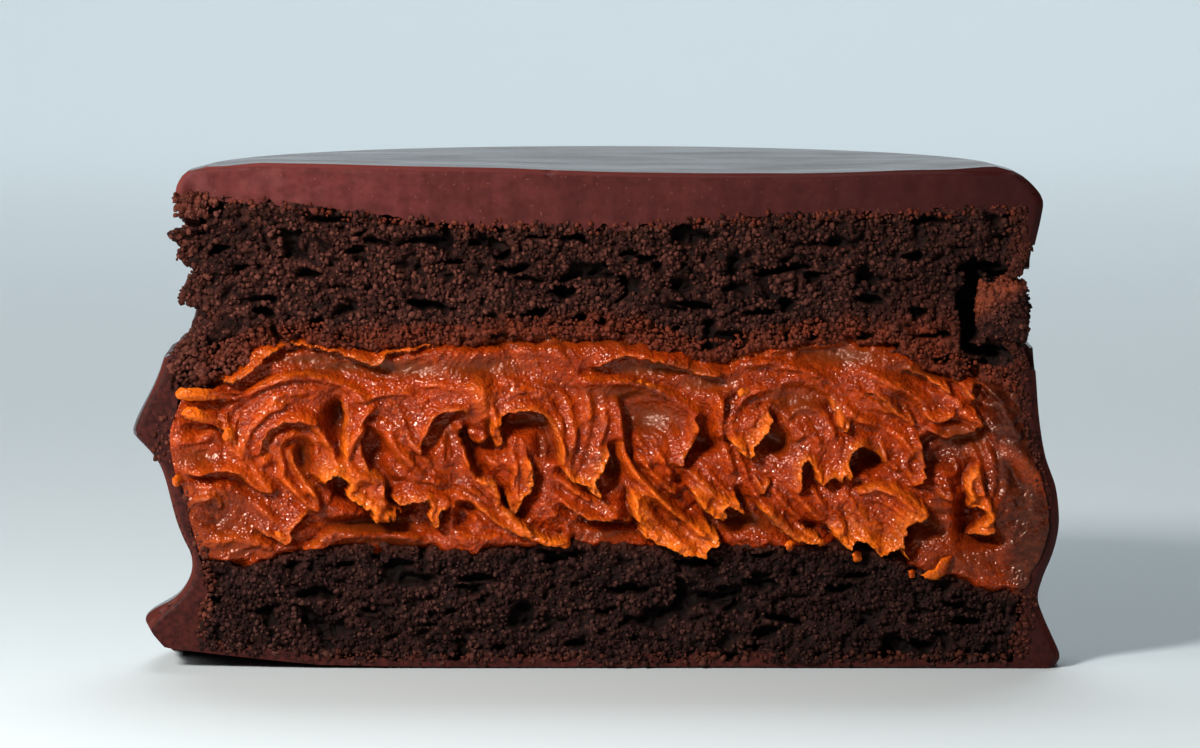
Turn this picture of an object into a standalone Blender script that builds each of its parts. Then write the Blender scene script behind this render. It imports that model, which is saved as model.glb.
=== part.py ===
"""Half of a chocolate-coated alfajor, cut through just in front of its middle.

A thick slab of chocolate lies on top and runs on as a thin coat down the round side, round the foot
and under the base. Inside it are a top cookie, a spatula-swirled caramel filling and a bottom cookie.
One block of cookie has broken loose at the right end of the cut.

The round side is at the back (+Y), the cut faces -Y, and the base stands on z = 0. Sizes below are in
millimetres. They become metres as each mesh is made.
"""

import math

import bmesh
import bpy
from mathutils import Vector, noise

MM = 0.001

# Driving dimensions, in millimetres, about the axis of the whole round alfajor.
TURN_RADIUS = 30.0  # every profile is turned at this radius, then takes its true one
TURN_STEPS = 60
TOP_Z = 35.0
TOP_SAG = 0.5  # how far the flat top dips towards the middle of the cut
TOP_SAG_HALF_WIDTH = 20.0
TOP_CROWN = 0.15  # how far the middle of the top stands over its rim
BASE_COAT = 0.8
GAP = 0.3  # between solids that touch
CUT_Y = -2.0  # the knife went through this far in front of the axis
WAVE = 0.18  # unevenness of the hand-dipped coat
BORDER_STATION_Z = 15.0  # the height whose radius spreads the layer borders over the cut

# Height, then the coat's outer radius at the left and at the right end of the cut.
COAT_OUTSIDE = (
    (0.0, 30.6, 31.2),
    (0.8, 31.4, 31.7),
    (2.1, 31.9, 31.2),
    (3.5, 31.3, 30.6),
    (4.9, 29.8, 30.2),
    (6.4, 28.9, 30.6),
    (7.8, 28.8, 31.2),
    (9.2, 29.4, 31.6),
    (10.6, 29.9, 31.7),
    (12.6, 30.3, 31.4),
    (14.8, 30.5, 30.6),
    (17.6, 30.4, 30.1),
    (20.6, 30.2, 29.9),
    (24.0, 29.9, 29.7),
    (28.0, 29.7, 29.7),
    (31.2, 29.4, 30.2),
    (33.0, 29.7, 30.1),
    (34.0, 29.5, 29.2),
    (34.7, 28.6, 28.0),
)

# The same for the inside of the coat, which the cookies and the filling reach.
COAT_INSIDE = (
    (0.8, 27.0, 28.4),
    (3.2, 27.2, 28.9),
    (6.0, 27.6, 29.3),
    (8.2, 27.9, 30.0),
    (10.4, 28.6, 30.4),
    (12.8, 29.1, 30.1),
    (15.4, 29.3, 29.4),
    (18.2, 29.3, 28.9),
    (21.4, 28.9, 28.6),
    (25.0, 28.7, 28.5),
    (28.5, 28.5, 28.6),
    (31.2, 28.1, 28.8),
)

# Heights of the borders between layers, from the left end of the cut to the right end.
SLAB_UNDERSIDE = ((-29, 32.3), (-20, 31.9), (-13, 31.2), (0, 30.7), (8, 31.2), (18, 31.6), (29, 31.8))
FILLING_TOP = (
    (-30, 19.2),
    (-27, 20.3),
    (-24, 22.4),
    (-18, 23.1),
    (-6, 23.3),
    (3, 23.0),
    (8, 22.0),
    (13, 22.7),
    (18, 23.0),
    (23, 21.0),
    (27, 19.7),
    (30, 19.0),
)
FILLING_BOTTOM = ((-29, 7.6), (-25, 7.5), (-19, 8.7), (-6, 8.5), (8, 8.4), (17, 8.1), (23, 6.7), (29, 5.6))
COAT_FLOOR = ((-30, BASE_COAT), (30, BASE_COAT))

# Rings of the flat faces, as shares of the radius. The cut and the rim need them, the middle few.
CAP_RINGS = (0.88, 0.68, 0.4)
TOP_CAP_RINGS = (0.87, 0.6, 0.3)

# The shard of coat that the knife pushed out at the left end.
SHARD_Z = 17.0
SHARD_TALL = 2.6
SHARD_OUT = 2.1
SHARD_TURN = math.radians(10.0)

# Broken places, each an uneven ball: centre, then half sizes.
LEFT_BREAK = (Vector((-31.6, CUT_Y, 26.4)), Vector((3.9, 11.0, 4.7)))
RIGHT_BREAK = (Vector((29.4, CUT_Y - 0.4, 25.1)), Vector((4.3, 9.9, 2.9)))
CHUNK = (Vector((27.55, CUT_Y + 1.35, 24.95)), Vector((1.75, 1.95, 2.1)))

# Relief of the cut faces.
CRUMB_STEP = 1.35
CRUMB_RELIEF = 0.55
CRUMB_RECESS = 0.45
SWIRL_STEP = 1.0
TONGUES = 10
TONGUE_PITCH = 5.1
TONGUE_FIRST_X = -24.2
TONGUE_RADIUS = 4.4
TONGUE_CENTRE_Z = 13.6
TONGUE_INNER_SLOPE = 2.6  # a stroke falls away slowly towards the hollow that it curls round
TONGUE_OUTER_SLOPE = 1.1
TONGUE_LIFT = 2.6
LEDGE_Z = 21.7
LEDGE_LIFT = 1.1
CHOCOLATE_STEP = 3.6
CHOCOLATE_RELIEF = 0.12

MATERIALS = {
    "chocolate_coating": ((0.105, 0.030, 0.022), 0.32),
    "top_cookie": ((0.026, 0.010, 0.008), 0.9),
    "crumb_chunk": ((0.045, 0.016, 0.011), 0.9),
    "caramel_filling": ((0.33, 0.055, 0.012), 0.35),
    "bottom_cookie": ((0.017, 0.007, 0.006), 0.92),
}


def clear_scene():
    for obj in list(bpy.data.objects):
        bpy.data.objects.remove(obj)


def collection(name, hidden=False):
    made = bpy.data.collections.new(name)
    bpy.context.scene.collection.children.link(made)
    made.hide_render = hidden
    return made


def smooth_step(value, low, high):
    share = min(max((value - low) / (high - low), 0.0), 1.0)
    return share * share * (3.0 - 2.0 * share)


def through(table, place, column=1):
    """Height of the smooth curve through a table's stations at one place."""
    place = min(max(place, table[0][0]), table[-1][0])
    index = 0
    while index < len(table) - 2 and place > table[index + 1][0]:
        index += 1

    def slope(at):
        before, after = table[max(at - 1, 0)], table[min(at + 1, len(table) - 1)]
        return (after[column] - before[column]) / (after[0] - before[0])

    start, end = table[index], table[index + 1]
    span = end[0] - start[0]
    t = (place - start[0]) / span
    return (
        (2 * t**3 - 3 * t**2 + 1) * start[column]
        + (t**3 - 2 * t**2 + t) * span * slope(index)
        + (3 * t**2 - 2 * t**3) * end[column]
        + (t**3 - t**2) * span * slope(index + 1)
    )


def between_ends(table, angle, z):
    """Radius at one height, passing evenly from the left end's (180 degrees) to the right end's (0)."""
    right_share = 0.5 + 0.5 * math.cos(angle)
    return through(table, z, 1) * (1.0 - right_share) + through(table, z, 2) * right_share


def coat_outer_radius(angle, z):
    from_left = math.remainder(angle - math.pi, math.tau)
    shard = math.exp(-(((z - SHARD_Z) / SHARD_TALL) ** 2) - (from_left / SHARD_TURN) ** 2)
    wave = noise.noise(Vector((2.2 * math.cos(angle), 2.2 * math.sin(angle), z / 9.0)))
    return between_ends(COAT_OUTSIDE, angle, z) + SHARD_OUT * shard + WAVE * wave


def coat_inner_radius(angle, z):
    return between_ends(COAT_INSIDE, angle, z)


def mesh_object(name, bm, home, colour=None, roughness=0.5):
    """A new object from a bmesh in millimetres. Each bent four-sided face is split the shorter way."""
    bmesh.ops.triangulate(bm, faces=list(bm.faces), quad_method="SHORT_EDGE")
    bmesh.ops.scale(bm, vec=Vector((MM, MM, MM)), verts=bm.verts)
    bmesh.ops.recalc_face_normals(bm, faces=bm.faces)
    mesh = bpy.data.meshes.new(name)
    bm.to_mesh(mesh)
    bm.free()
    obj = bpy.data.objects.new(name, mesh)
    home.objects.link(obj)
    if colour:
        mesh.materials.append(surface(name, colour, roughness))
    else:
        obj.hide_render = True
        obj.display_type = "WIRE"
    return obj


def surface(name, colour, roughness):
    material = bpy.data.materials.new(name)
    material.use_nodes = True
    shader = material.node_tree.nodes["Principled BSDF"]
    shader.inputs["Base Color"].default_value = (*colour, 1.0)
    shader.inputs["Roughness"].default_value = roughness
    return material


def turned(profile, place):
    """A bmesh turned from (radius share, station) points listed from the top down the outer side.

    place(share, station, angle) gives the true radius and height of a point.
    """
    mesh = bpy.data.meshes.new("profile")
    points = [(share * TURN_RADIUS * MM, 0.0, station * MM) for share, station in profile]
    mesh.from_pydata(points, [(i, i + 1) for i in range(len(points) - 1)], [])
    guide = bpy.data.objects.new("profile", mesh)
    bpy.context.scene.collection.objects.link(guide)
    screw = guide.modifiers.new("Screw", "SCREW")
    screw.axis = "Z"
    screw.steps = TURN_STEPS
    screw.render_steps = TURN_STEPS
    screw.use_merge_vertices = True
    screw.merge_threshold = 0.00001
    bpy.context.view_layer.update()
    graph = bpy.context.evaluated_depsgraph_get()
    solid = bpy.data.meshes.new_from_object(guide.evaluated_get(graph))
    bpy.data.objects.remove(guide)

    bm = bmesh.new()
    bm.from_mesh(solid)
    bpy.data.meshes.remove(solid)
    for vert in bm.verts:
        x, y, station = vert.co / MM
        share = math.hypot(x, y) / TURN_RADIUS
        angle = math.atan2(y, x)
        radius, z = place(share, station, angle)
        vert.co = (radius * math.cos(angle), radius * math.sin(angle), z)
    return bm


def coat_block():
    """The outside of the whole coated alfajor, before it is hollowed and cut."""
    wall = [(1.0, row[0]) for row in reversed(COAT_OUTSIDE)]
    profile = [(0.0, TOP_Z)] + [(share, TOP_Z) for share in reversed(TOP_CAP_RINGS)] + wall + [(0.0, 0.0)]

    def place(share, station, angle):
        radius = share * coat_outer_radius(angle, min(station, COAT_OUTSIDE[-1][0]))
        if station < TOP_Z:
            return radius, station
        # The flat top starts inside the soft shoulder and dips a little towards the cut.
        dip = TOP_SAG * math.exp(-((radius * math.cos(angle) / TOP_SAG_HALF_WIDTH) ** 2))
        towards_cut = smooth_step(-radius * math.sin(angle), -20.0, 5.0)
        return radius, TOP_Z + TOP_CROWN * (1.0 - share) - dip * towards_cut

    return turned(profile, place)


def layer(bottom, top, wall_rows, clearance):
    """A turned layer between two border tables, its rim this far inside the coat."""
    caps = [0.0] + list(reversed(CAP_RINGS))
    profile = [(share, 1.0) for share in caps]
    profile += [(1.0, 1.0 - row / wall_rows) for row in range(wall_rows + 1)]
    profile += [(share, 0.0) for share in reversed(caps)]

    def place(share, station, angle):
        level = through(COAT_INSIDE, BORDER_STATION_Z, 1)
        x = share * level * math.cos(angle)
        low = through(bottom, x) + clearance
        high = through(top, x) - clearance
        z = low + station * (high - low)
        return share * (coat_inner_radius(angle, z) - clearance), z

    return turned(profile, place)


def knife(name, low_z, high_z, step, relief, home):
    """Everything in front of the cut face. relief(x, z) says how far that face stands forward."""
    half_wide = TURN_RADIUS + 6.0
    columns = round(2.0 * half_wide / step)
    rows = max(round((high_z - low_z) / step), 1)
    bm = bmesh.new()
    bmesh.ops.create_grid(bm, x_segments=columns, y_segments=rows, size=1.0)
    for vert in bm.verts:
        x = vert.co.x * half_wide
        z = low_z + (vert.co.y + 1.0) / 2.0 * (high_z - low_z)
        vert.co = (x, CUT_Y - relief(x, z), z)
    grown = bmesh.ops.extrude_face_region(bm, geom=list(bm.faces))
    for item in grown["geom"]:
        if isinstance(item, bmesh.types.BMVert):
            item.co.y = -TURN_RADIUS - 12.0
    return mesh_object(name, bm, home)


def uneven_ball(place, detail, roughness):
    """A bmesh of a lumpy ball, slightly squared, as broken cookie is."""
    centre, half = place
    bm = bmesh.new()
    bmesh.ops.create_icosphere(bm, subdivisions=detail, radius=1.0)
    for vert in bm.verts:
        direction = vert.co.normalized()
        squared = 1.0 / max(abs(direction.x), abs(direction.y), abs(direction.z)) ** 0.45
        lump = 1.0 + roughness * noise.noise(direction * 2.3 + centre * 0.37)
        reach = squared * lump
        vert.co = centre + Vector([direction[i] * half[i] * reach for i in range(3)])
    return bm


def chocolate_relief(x, z):
    return CHOCOLATE_RELIEF * noise.noise(Vector((x / 7.0, 3.1, z / 11.0)))


def crumb_relief(x, z):
    coarse = noise.noise(Vector((x / 3.4, 8.7, z / 2.6)))
    fine = noise.noise(Vector((x / 1.5, 1.9, z / 1.3)))
    return CRUMB_RELIEF * (coarse + 0.7 * fine) - CRUMB_RECESS


def tongue(x, z, index):
    """One spatula stroke: it comes up at the left, turns over and ends in a raised lip, lower right."""
    uneven = noise.noise(Vector((index * 1.7, 0.4, 6.2)))
    centre_x = TONGUE_FIRST_X + TONGUE_PITCH * index + 1.2 * uneven
    centre_z = TONGUE_CENTRE_Z + 1.1 * math.sin(2.3 * index)
    along, up = x - centre_x, z - centre_z
    outwards = math.hypot(along, up) - TONGUE_RADIUS
    off_line = outwards / (TONGUE_OUTER_SLOPE if outwards > 0.0 else TONGUE_INNER_SLOPE)
    turn = math.degrees(math.atan2(up, along))
    rise = smooth_step(turn, 170.0, -10.0) * smooth_step(turn, -62.0, -30.0)
    return TONGUE_LIFT * rise * math.exp(-off_line * off_line)


def swirl_relief(x, z):
    strokes = max(tongue(x, z, index) for index in range(TONGUES))
    ledge_z = LEDGE_Z + 0.6 * math.sin(x / 4.1)
    ledge = LEDGE_LIFT * math.exp(-(((z - ledge_z) / 0.9) ** 2)) * smooth_step(abs(x), 28.0, 22.0)
    rough = 0.3 * noise.noise(Vector((x / 1.8, 4.4, z / 1.6)))
    return strokes + ledge + rough - 1.0


def subtract(obj, cutter):
    cut = obj.modifiers.new("Cut " + cutter.name, "BOOLEAN")
    cut.operation = "DIFFERENCE"
    cut.solver = "EXACT"
    cut.object = cutter


def build():
    clear_scene()
    parts = collection("alfajor")
    cutters = collection("cutters", hidden=True)

    borders = {
        "top_cookie": (FILLING_TOP, SLAB_UNDERSIDE, 4, CRUMB_STEP, crumb_relief),
        "caramel_filling": (FILLING_BOTTOM, FILLING_TOP, 6, SWIRL_STEP, swirl_relief),
        "bottom_cookie": (COAT_FLOOR, FILLING_BOTTOM, 3, CRUMB_STEP, crumb_relief),
    }

    coating = mesh_object("chocolate_coating", coat_block(), parts, *MATERIALS["chocolate_coating"])
    hollow = mesh_object("hollow", layer(COAT_FLOOR, SLAB_UNDERSIDE, 11, 0.0), cutters)
    front = knife("chocolate_cut", -1.0, TOP_Z + 1.0, CHOCOLATE_STEP, chocolate_relief, cutters)
    left_break = mesh_object("left_break", uneven_ball(LEFT_BREAK, 3, 0.25), cutters)
    right_break = mesh_object("right_break", uneven_ball(RIGHT_BREAK, 3, 0.2), cutters)
    for cutter in (hollow, front, left_break, right_break):
        subtract(coating, cutter)

    nodes = [coating]
    for name, (bottom, top, rows, step, relief) in borders.items():
        obj = mesh_object(name, layer(bottom, top, rows, GAP / 2), parts, *MATERIALS[name])
        low = min(row[1] for row in bottom) - 1.0
        high = max(row[1] for row in top) + 1.0
        subtract(obj, knife(name + "_cut", low, high, step, relief, cutters))
        nodes.append(obj)
    subtract(nodes[1], right_break)

    chunk = uneven_ball(CHUNK, 3, 0.3)
    nodes.append(mesh_object("crumb_chunk", chunk, parts, *MATERIALS["crumb_chunk"]))
    stand_at_origin(nodes, cutters, parts)


def stand_at_origin(nodes, cutters, parts):
    """Hangs everything on one empty, so that the middle of the whole base is the origin."""
    bpy.context.view_layer.update()
    graph = bpy.context.evaluated_depsgraph_get()
    corners = [Vector(c) for obj in nodes for c in obj.evaluated_get(graph).bound_box]
    low = Vector([min(c[i] for c in corners) for i in range(3)])
    high = Vector([max(c[i] for c in corners) for i in range(3)])
    middle = bpy.data.objects.new("base_middle", None)
    parts.objects.link(middle)
    middle.location = (-(low.x + high.x) / 2, -(low.y + high.y) / 2, -low.z)
    for obj in nodes + list(cutters.objects):
        obj.parent = middle
        obj.data.shade_smooth()
        obj.data.set_sharp_from_angle(angle=math.radians(35.0))


build()
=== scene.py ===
"""The looks of the cut alfajor half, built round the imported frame.

Every surface is worked out in "cut millimetres": X to the right along the cut, D the depth behind the
cut plane and Z the height over the base. world() turns them into the frame's metres.
"""

import math

import bmesh
import bpy
import numpy as np
from mathutils import Euler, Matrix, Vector

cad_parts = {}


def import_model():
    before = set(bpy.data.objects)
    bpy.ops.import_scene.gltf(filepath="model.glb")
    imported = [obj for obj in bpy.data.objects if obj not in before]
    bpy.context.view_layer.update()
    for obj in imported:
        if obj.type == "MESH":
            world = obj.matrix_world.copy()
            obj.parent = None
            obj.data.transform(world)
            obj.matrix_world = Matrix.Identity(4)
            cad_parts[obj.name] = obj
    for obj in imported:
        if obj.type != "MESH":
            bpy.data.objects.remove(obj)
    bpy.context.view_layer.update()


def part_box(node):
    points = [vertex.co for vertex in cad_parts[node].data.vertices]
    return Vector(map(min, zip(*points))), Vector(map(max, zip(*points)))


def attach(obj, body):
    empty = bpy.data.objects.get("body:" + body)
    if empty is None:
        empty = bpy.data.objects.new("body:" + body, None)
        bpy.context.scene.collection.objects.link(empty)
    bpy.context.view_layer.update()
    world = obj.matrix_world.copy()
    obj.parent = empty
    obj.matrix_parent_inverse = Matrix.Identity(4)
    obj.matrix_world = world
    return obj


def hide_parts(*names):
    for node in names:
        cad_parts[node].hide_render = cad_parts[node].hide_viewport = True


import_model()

MM = 0.001
COAT_LOW, COAT_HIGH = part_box("chocolate_coating")

# The axis of the whole round alfajor and the cut plane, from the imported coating's box.
COAT_REACH = 31.73  # how far the coat goes to the right of the axis
COAT_FORWARD = 0.07  # how far its uneven cut stands in front of the cut plane
AXIS_X = COAT_HIGH.x / MM - COAT_REACH
CUT_Y = COAT_LOW.y / MM + COAT_FORWARD
AXIS_D = 2.0  # the knife went this far in front of the axis
TOP_Z = COAT_HIGH.z / MM


def world(points):
    """Cut millimetres (X, D, Z) to metres in the frame."""
    return (points + np.array([AXIS_X, CUT_Y, 0.0])) * MM


# ---------------------------------------------------------------------------------------------------
# Numbers that vary smoothly: curves through stations, and noise
# ---------------------------------------------------------------------------------------------------


def smooth(value, low, high):
    share = np.clip((value - low) / (high - low), 0.0, 1.0)
    return share * share * (3.0 - 2.0 * share)


def dense(points, per_span=12):
    """Points along the Catmull-Rom curve through the given ones."""
    points = np.asarray(points, float)
    padded = np.vstack([2 * points[0] - points[1], points, 2 * points[-1] - points[-2]])
    t = np.linspace(0.0, 1.0, per_span, endpoint=False)[:, None]
    spans = []
    for a, b, c, d in zip(padded, padded[1:], padded[2:], padded[3:]):
        spans.append(
            0.5 * (2 * b + (c - a) * t + (2 * a - 5 * b + 4 * c - d) * t**2 + (3 * b - a - 3 * c + d) * t**3)
        )
    return np.vstack(spans + [points[-1:]])


def curve(*stations):
    """A smooth function through (place, height) stations, level beyond its ends."""
    line = dense(stations)
    return lambda place: np.interp(place, line[:, 0], line[:, 1])


def scramble(cell, seed):
    """A random number from 0 to 1 for each whole-numbered cell."""
    cell = cell.astype(np.int64)
    mixed = cell[..., 0] * 374761393 + cell[..., 1] * 668265263 + cell[..., 2] * 1274126177 + seed * 144269504
    mixed &= 0xFFFFFFFF
    mixed = ((mixed ^ (mixed >> 13)) * 1274126177) & 0xFFFFFFFF
    mixed = ((mixed ^ (mixed >> 16)) * 668265263) & 0xFFFFFFFF
    return ((mixed ^ (mixed >> 15)) & 0xFFFFF) / 1048575.0


def clouds(points, size, seed):
    """Smooth noise from -1 to 1 with lumps of the given size. size is one number or one for each axis."""
    place = points / size
    cell = np.floor(place)
    part = place - cell
    part = part * part * (3.0 - 2.0 * part)
    total = np.zeros(len(points))
    for corner in np.ndindex(2, 2, 2):
        corner = np.array(corner)
        weight = np.prod(np.where(corner, part, 1.0 - part), axis=-1)
        total += weight * scramble(cell + corner, seed)
    return 2.0 * total - 1.0


def lumps(points, size, seed):
    """Rounded grains packed together: (dome from 0 at the joints to 1 on top, a random number per grain)."""
    place = points / size
    cell = np.floor(place)
    nearest = np.full(len(points), 9.0)
    label = np.zeros(len(points))
    for step in np.ndindex(3, 3, 3):
        other = cell + np.array(step) - 1.0
        jitter = np.stack([scramble(other, seed + k) for k in range(3)], axis=-1)
        gap = np.sum((place - other - jitter) ** 2, axis=-1) * (0.7 + 0.7 * scramble(other, seed + 4))
        closer = gap < nearest
        nearest = np.where(closer, gap, nearest)
        label = np.where(closer, scramble(other, seed + 5), label)
    return np.sqrt(np.clip(1.0 - nearest / 0.8, 0.0, 1.0)), label


# ---------------------------------------------------------------------------------------------------
# Meshes
# ---------------------------------------------------------------------------------------------------


def mesh_piece(name, points, faces, material, **values):
    """A smooth-shaded object from points in cut millimetres, with one stored number per point for each value."""
    mesh = bpy.data.meshes.new(name)
    size = len(faces[0])
    faces = np.asarray(faces, np.int32)
    mesh.vertices.add(len(points))
    mesh.vertices.foreach_set("co", world(points).astype(np.float32).ravel())
    mesh.loops.add(faces.size)
    mesh.loops.foreach_set("vertex_index", faces.ravel())
    mesh.polygons.add(len(faces))
    mesh.polygons.foreach_set("loop_start", np.arange(len(faces), dtype=np.int32) * size)
    mesh.update(calc_edges=True)
    mesh.shade_smooth()
    for key, numbers in values.items():
        store(mesh, key, numbers)
    obj = bpy.data.objects.new(name, mesh)
    bpy.context.scene.collection.objects.link(obj)
    mesh.materials.append(material)
    return obj


def store(mesh, key, numbers):
    layer = mesh.attributes.new(key, "FLOAT", "POINT")
    layer.data.foreach_set("value", np.asarray(numbers, np.float32))


def finish_piece(obj, slot, *nodes):
    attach(obj, "root")
    if nodes:
        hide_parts(*nodes)


def grid_faces(columns, rows, closed=True):
    """Triangles of a grid whose columns run round the outline. Each column holds rows points, going up."""
    across = np.arange(columns if closed else columns - 1)[:, None]
    up = np.arange(rows - 1)[None, :]
    a = across * rows + up
    b = ((across + 1) % columns) * rows + up
    quads = np.stack([a, b, b + 1, a + 1], axis=-1).reshape(-1, 4)
    return np.vstack([quads[:, [0, 1, 2]], quads[:, [0, 2, 3]]])


# ---------------------------------------------------------------------------------------------------
# Outlines of the alfajor
# ---------------------------------------------------------------------------------------------------

COAT_OUTSIDE_LEFT = curve(
    (0.0, 30.6), (0.8, 31.4), (2.1, 31.9), (3.5, 31.3), (4.9, 29.8), (6.4, 28.9), (7.8, 28.8), (9.2, 29.4),
    (10.6, 29.9), (12.6, 30.3), (14.8, 30.5), (17.6, 30.4), (20.6, 30.2), (24.0, 29.9), (28.0, 29.7),
    (31.2, 29.4), (33.0, 29.7), (34.0, 29.4), (34.6, 28.8), (34.9, 27.6),
)
COAT_OUTSIDE_RIGHT = curve(
    (0.0, 31.2), (0.8, 31.7), (2.1, 31.2), (3.5, 30.6), (4.9, 30.2), (6.4, 30.6), (7.8, 31.2), (9.2, 31.6),
    (10.6, 31.7), (12.6, 31.4), (14.8, 30.6), (17.6, 30.1), (20.6, 29.9), (24.0, 29.7), (28.0, 29.7),
    (31.2, 30.2), (32.6, 30.3), (33.7, 29.5), (34.5, 28.4), (34.9, 27.0),
)
COAT_INSIDE_LEFT = curve(
    (0.8, 28.3), (3.2, 28.0), (6.0, 27.7), (8.2, 28.2), (10.4, 28.7), (12.8, 29.2), (15.4, 29.8),
    (18.2, 29.7), (21.4, 29.3), (25.0, 28.7), (28.5, 28.5), (31.2, 28.1),
)
COAT_INSIDE_RIGHT = curve(
    (0.8, 28.4), (3.2, 28.9), (6.0, 29.3), (8.2, 30.0), (10.4, 30.4), (12.8, 30.1), (15.4, 29.4),
    (18.2, 28.9), (21.4, 28.6), (25.0, 28.5), (28.5, 28.6), (31.2, 28.8),
)
# The crumb that the coat has left bare at the left end
BARE_CRUMB_LEFT = curve(
    (18.0, 29.6), (21.0, 29.9), (22.2, 29.6), (23.2, 28.6), (24.8, 27.6), (25.7, 29.2), (26.8, 28.8),
    (27.7, 28.2), (28.7, 29.4), (29.4, 29.0), (30.2, 30.0), (30.9, 27.8), (31.6, 28.2), (32.4, 29.3), (33.2, 28.8),
)
# The left end of the base is bent up off the table
BASE_RISE = curve((-32, 1.9), (-30, 1.35), (-28, 1.0), (-25, 0.7), (-22, 0.5), (-20.6, 0.2), (-16, 0.05), (-10, 0.0))
SLAB_UNDERSIDE = curve((-29, 32.4), (-25, 32.5), (-20, 31.9), (-13, 31.1), (0, 30.7), (8, 31.2), (18, 31.6), (29, 31.9))
FILLING_TOP = curve(
    (-30, 19.4), (-27.4, 19.8), (-26, 20.9), (-24.5, 22.1), (-20, 22.6), (-15, 22.4), (-10, 22.8), (-6, 23.2),
    (0, 23.2), (2.5, 22.9), (4.5, 22.2), (8, 21.5), (10.5, 22.4), (17, 23.0), (20.5, 22.2), (23, 20.9), (27, 20.0),
    (30, 19.2),
)
FILLING_BOTTOM = curve(
    (-29, 7.9), (-27, 7.5), (-23.5, 7.5), (-21.3, 8.0), (-18, 8.4), (-11, 8.2), (-9.3, 8.0), (-6, 8.4),
    (0, 8.5), (5, 8.2), (8, 8.4), (15, 8.3), (19, 8.0), (22, 6.8), (26, 5.6), (29, 5.2),
)


def base_rise(x, d):
    """How far the underside stands off the table. It comes down behind the cut."""
    return BASE_RISE(x) * smooth(d, 9.0, 1.0)


def mixed_radius(left, right, angle, z):
    """Radius that passes evenly from the left end's (half a turn) to the right end's (no turn)."""
    share = 0.5 + 0.5 * np.cos(angle)
    return left(z) * (1.0 - share) + right(z) * share


def shard(angle, z):
    """The coat that the knife pushed out at the left end of the cut, 0 to 1."""
    from_left = np.abs(np.remainder(angle, math.tau) - math.pi)
    upper = np.exp(-np.abs((z - 16.4) / 3.6) ** 1.6) * (z > 16.4)
    lower = np.exp(-np.abs((z - 16.4) / 1.5) ** 1.5) * (z <= 16.4)
    return (upper + lower) * np.exp(-((from_left / 0.16) ** 2))


def outer_radius(angle, z):
    place = np.stack([2.2 * np.cos(angle), 2.2 * np.sin(angle), z / 9.0], axis=-1).reshape(-1, 3)
    wave = clouds(place, 1.0, 3).reshape(np.shape(angle))
    ripple = clouds(place * 4.0, 1.0, 5).reshape(np.shape(angle))
    base = mixed_radius(COAT_OUTSIDE_LEFT, COAT_OUTSIDE_RIGHT, angle, z)
    return base + 2.2 * shard(angle, z) + 0.16 * wave + 0.03 * ripple


def drum(bottom, top, columns_front, back_angles, rows, clearance, left=COAT_INSIDE_LEFT):
    """Grid of a layer: up its cut face from left to right, then round its back.

    Returns points (columns, rows, 3), the way out at each, and how much each belongs to the cut face.
    """
    share = np.linspace(0.0, 1.0, rows)[None, :]
    across = np.linspace(-1.0, 1.0, columns_front)[:, None]

    def end_x(side, z):
        left_or_right = left if side < 0 else COAT_INSIDE_RIGHT
        return side * np.sqrt((left_or_right(z) - clearance) ** 2 - AXIS_D**2)

    x = across * 29.0
    for _ in range(3):
        z = bottom(x) + share * (top(x) - bottom(x))
        x = (1.0 - across) / 2 * end_x(-1, z) + (1.0 + across) / 2 * end_x(1, z)
    front = np.stack([x, np.zeros_like(x), z], axis=-1)

    angle = back_angles[:, None] + 0.0 * share
    near_left = smooth(29.0 * (math.pi - angle), 13.5, 10.5)
    x = 29.0 * np.cos(angle)
    for _ in range(3):
        z = bottom(x) + share * (top(x) - bottom(x))
        coated = mixed_radius(COAT_INSIDE_LEFT, COAT_INSIDE_RIGHT, angle, z)
        bare = mixed_radius(left, COAT_INSIDE_RIGHT, angle, z)
        radius = coated + near_left * (bare - coated) - clearance
        x = radius * np.cos(angle)
    back = np.stack([x, AXIS_D + radius * np.sin(angle), z], axis=-1)

    points = np.concatenate([front, back])
    forward = np.zeros_like(points)
    forward[..., 1] = -1.0
    radial = np.stack([points[..., 0], points[..., 1] - AXIS_D, np.zeros_like(points[..., 0])], axis=-1)
    radial /= np.linalg.norm(radial, axis=-1, keepdims=True)
    corner = np.where(points[..., 0] > 0, end_x(1, points[..., 2]), end_x(-1, points[..., 2]))
    towards_side = smooth(np.abs(corner) - np.abs(points[..., 0]), 1.2, 0.0)
    cut_share = np.where(points[..., 1] > 0.0, 0.5 * smooth(points[..., 1], 1.2, 0.0), 1.0 - 0.5 * towards_side)
    way = cut_share[..., None] * forward + (1.0 - cut_share[..., None]) * radial
    way /= np.linalg.norm(way, axis=-1, keepdims=True)
    return points, way, cut_share


def drum_faces(columns, rows):
    """The grid's triangles with a fan over the top and under the bottom, round two added middle points."""
    low = np.arange(columns) * rows
    high = low + rows - 1
    floor, roof = columns * rows, columns * rows + 1
    fan_low = np.stack([np.roll(low, -1), low, np.full(columns, floor)], axis=-1)
    fan_high = np.stack([high, np.roll(high, -1), np.full(columns, roof)], axis=-1)
    return np.vstack([grid_faces(columns, rows), fan_low, fan_high])


def with_middles(points):
    """The drum's points in one list, with the two middle points of its hidden flat faces."""
    low, high = points[:, 0].mean(axis=0), points[:, -1].mean(axis=0)
    low[1] = high[1] = 12.0
    return np.vstack([points.reshape(-1, 3), low, high])


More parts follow.
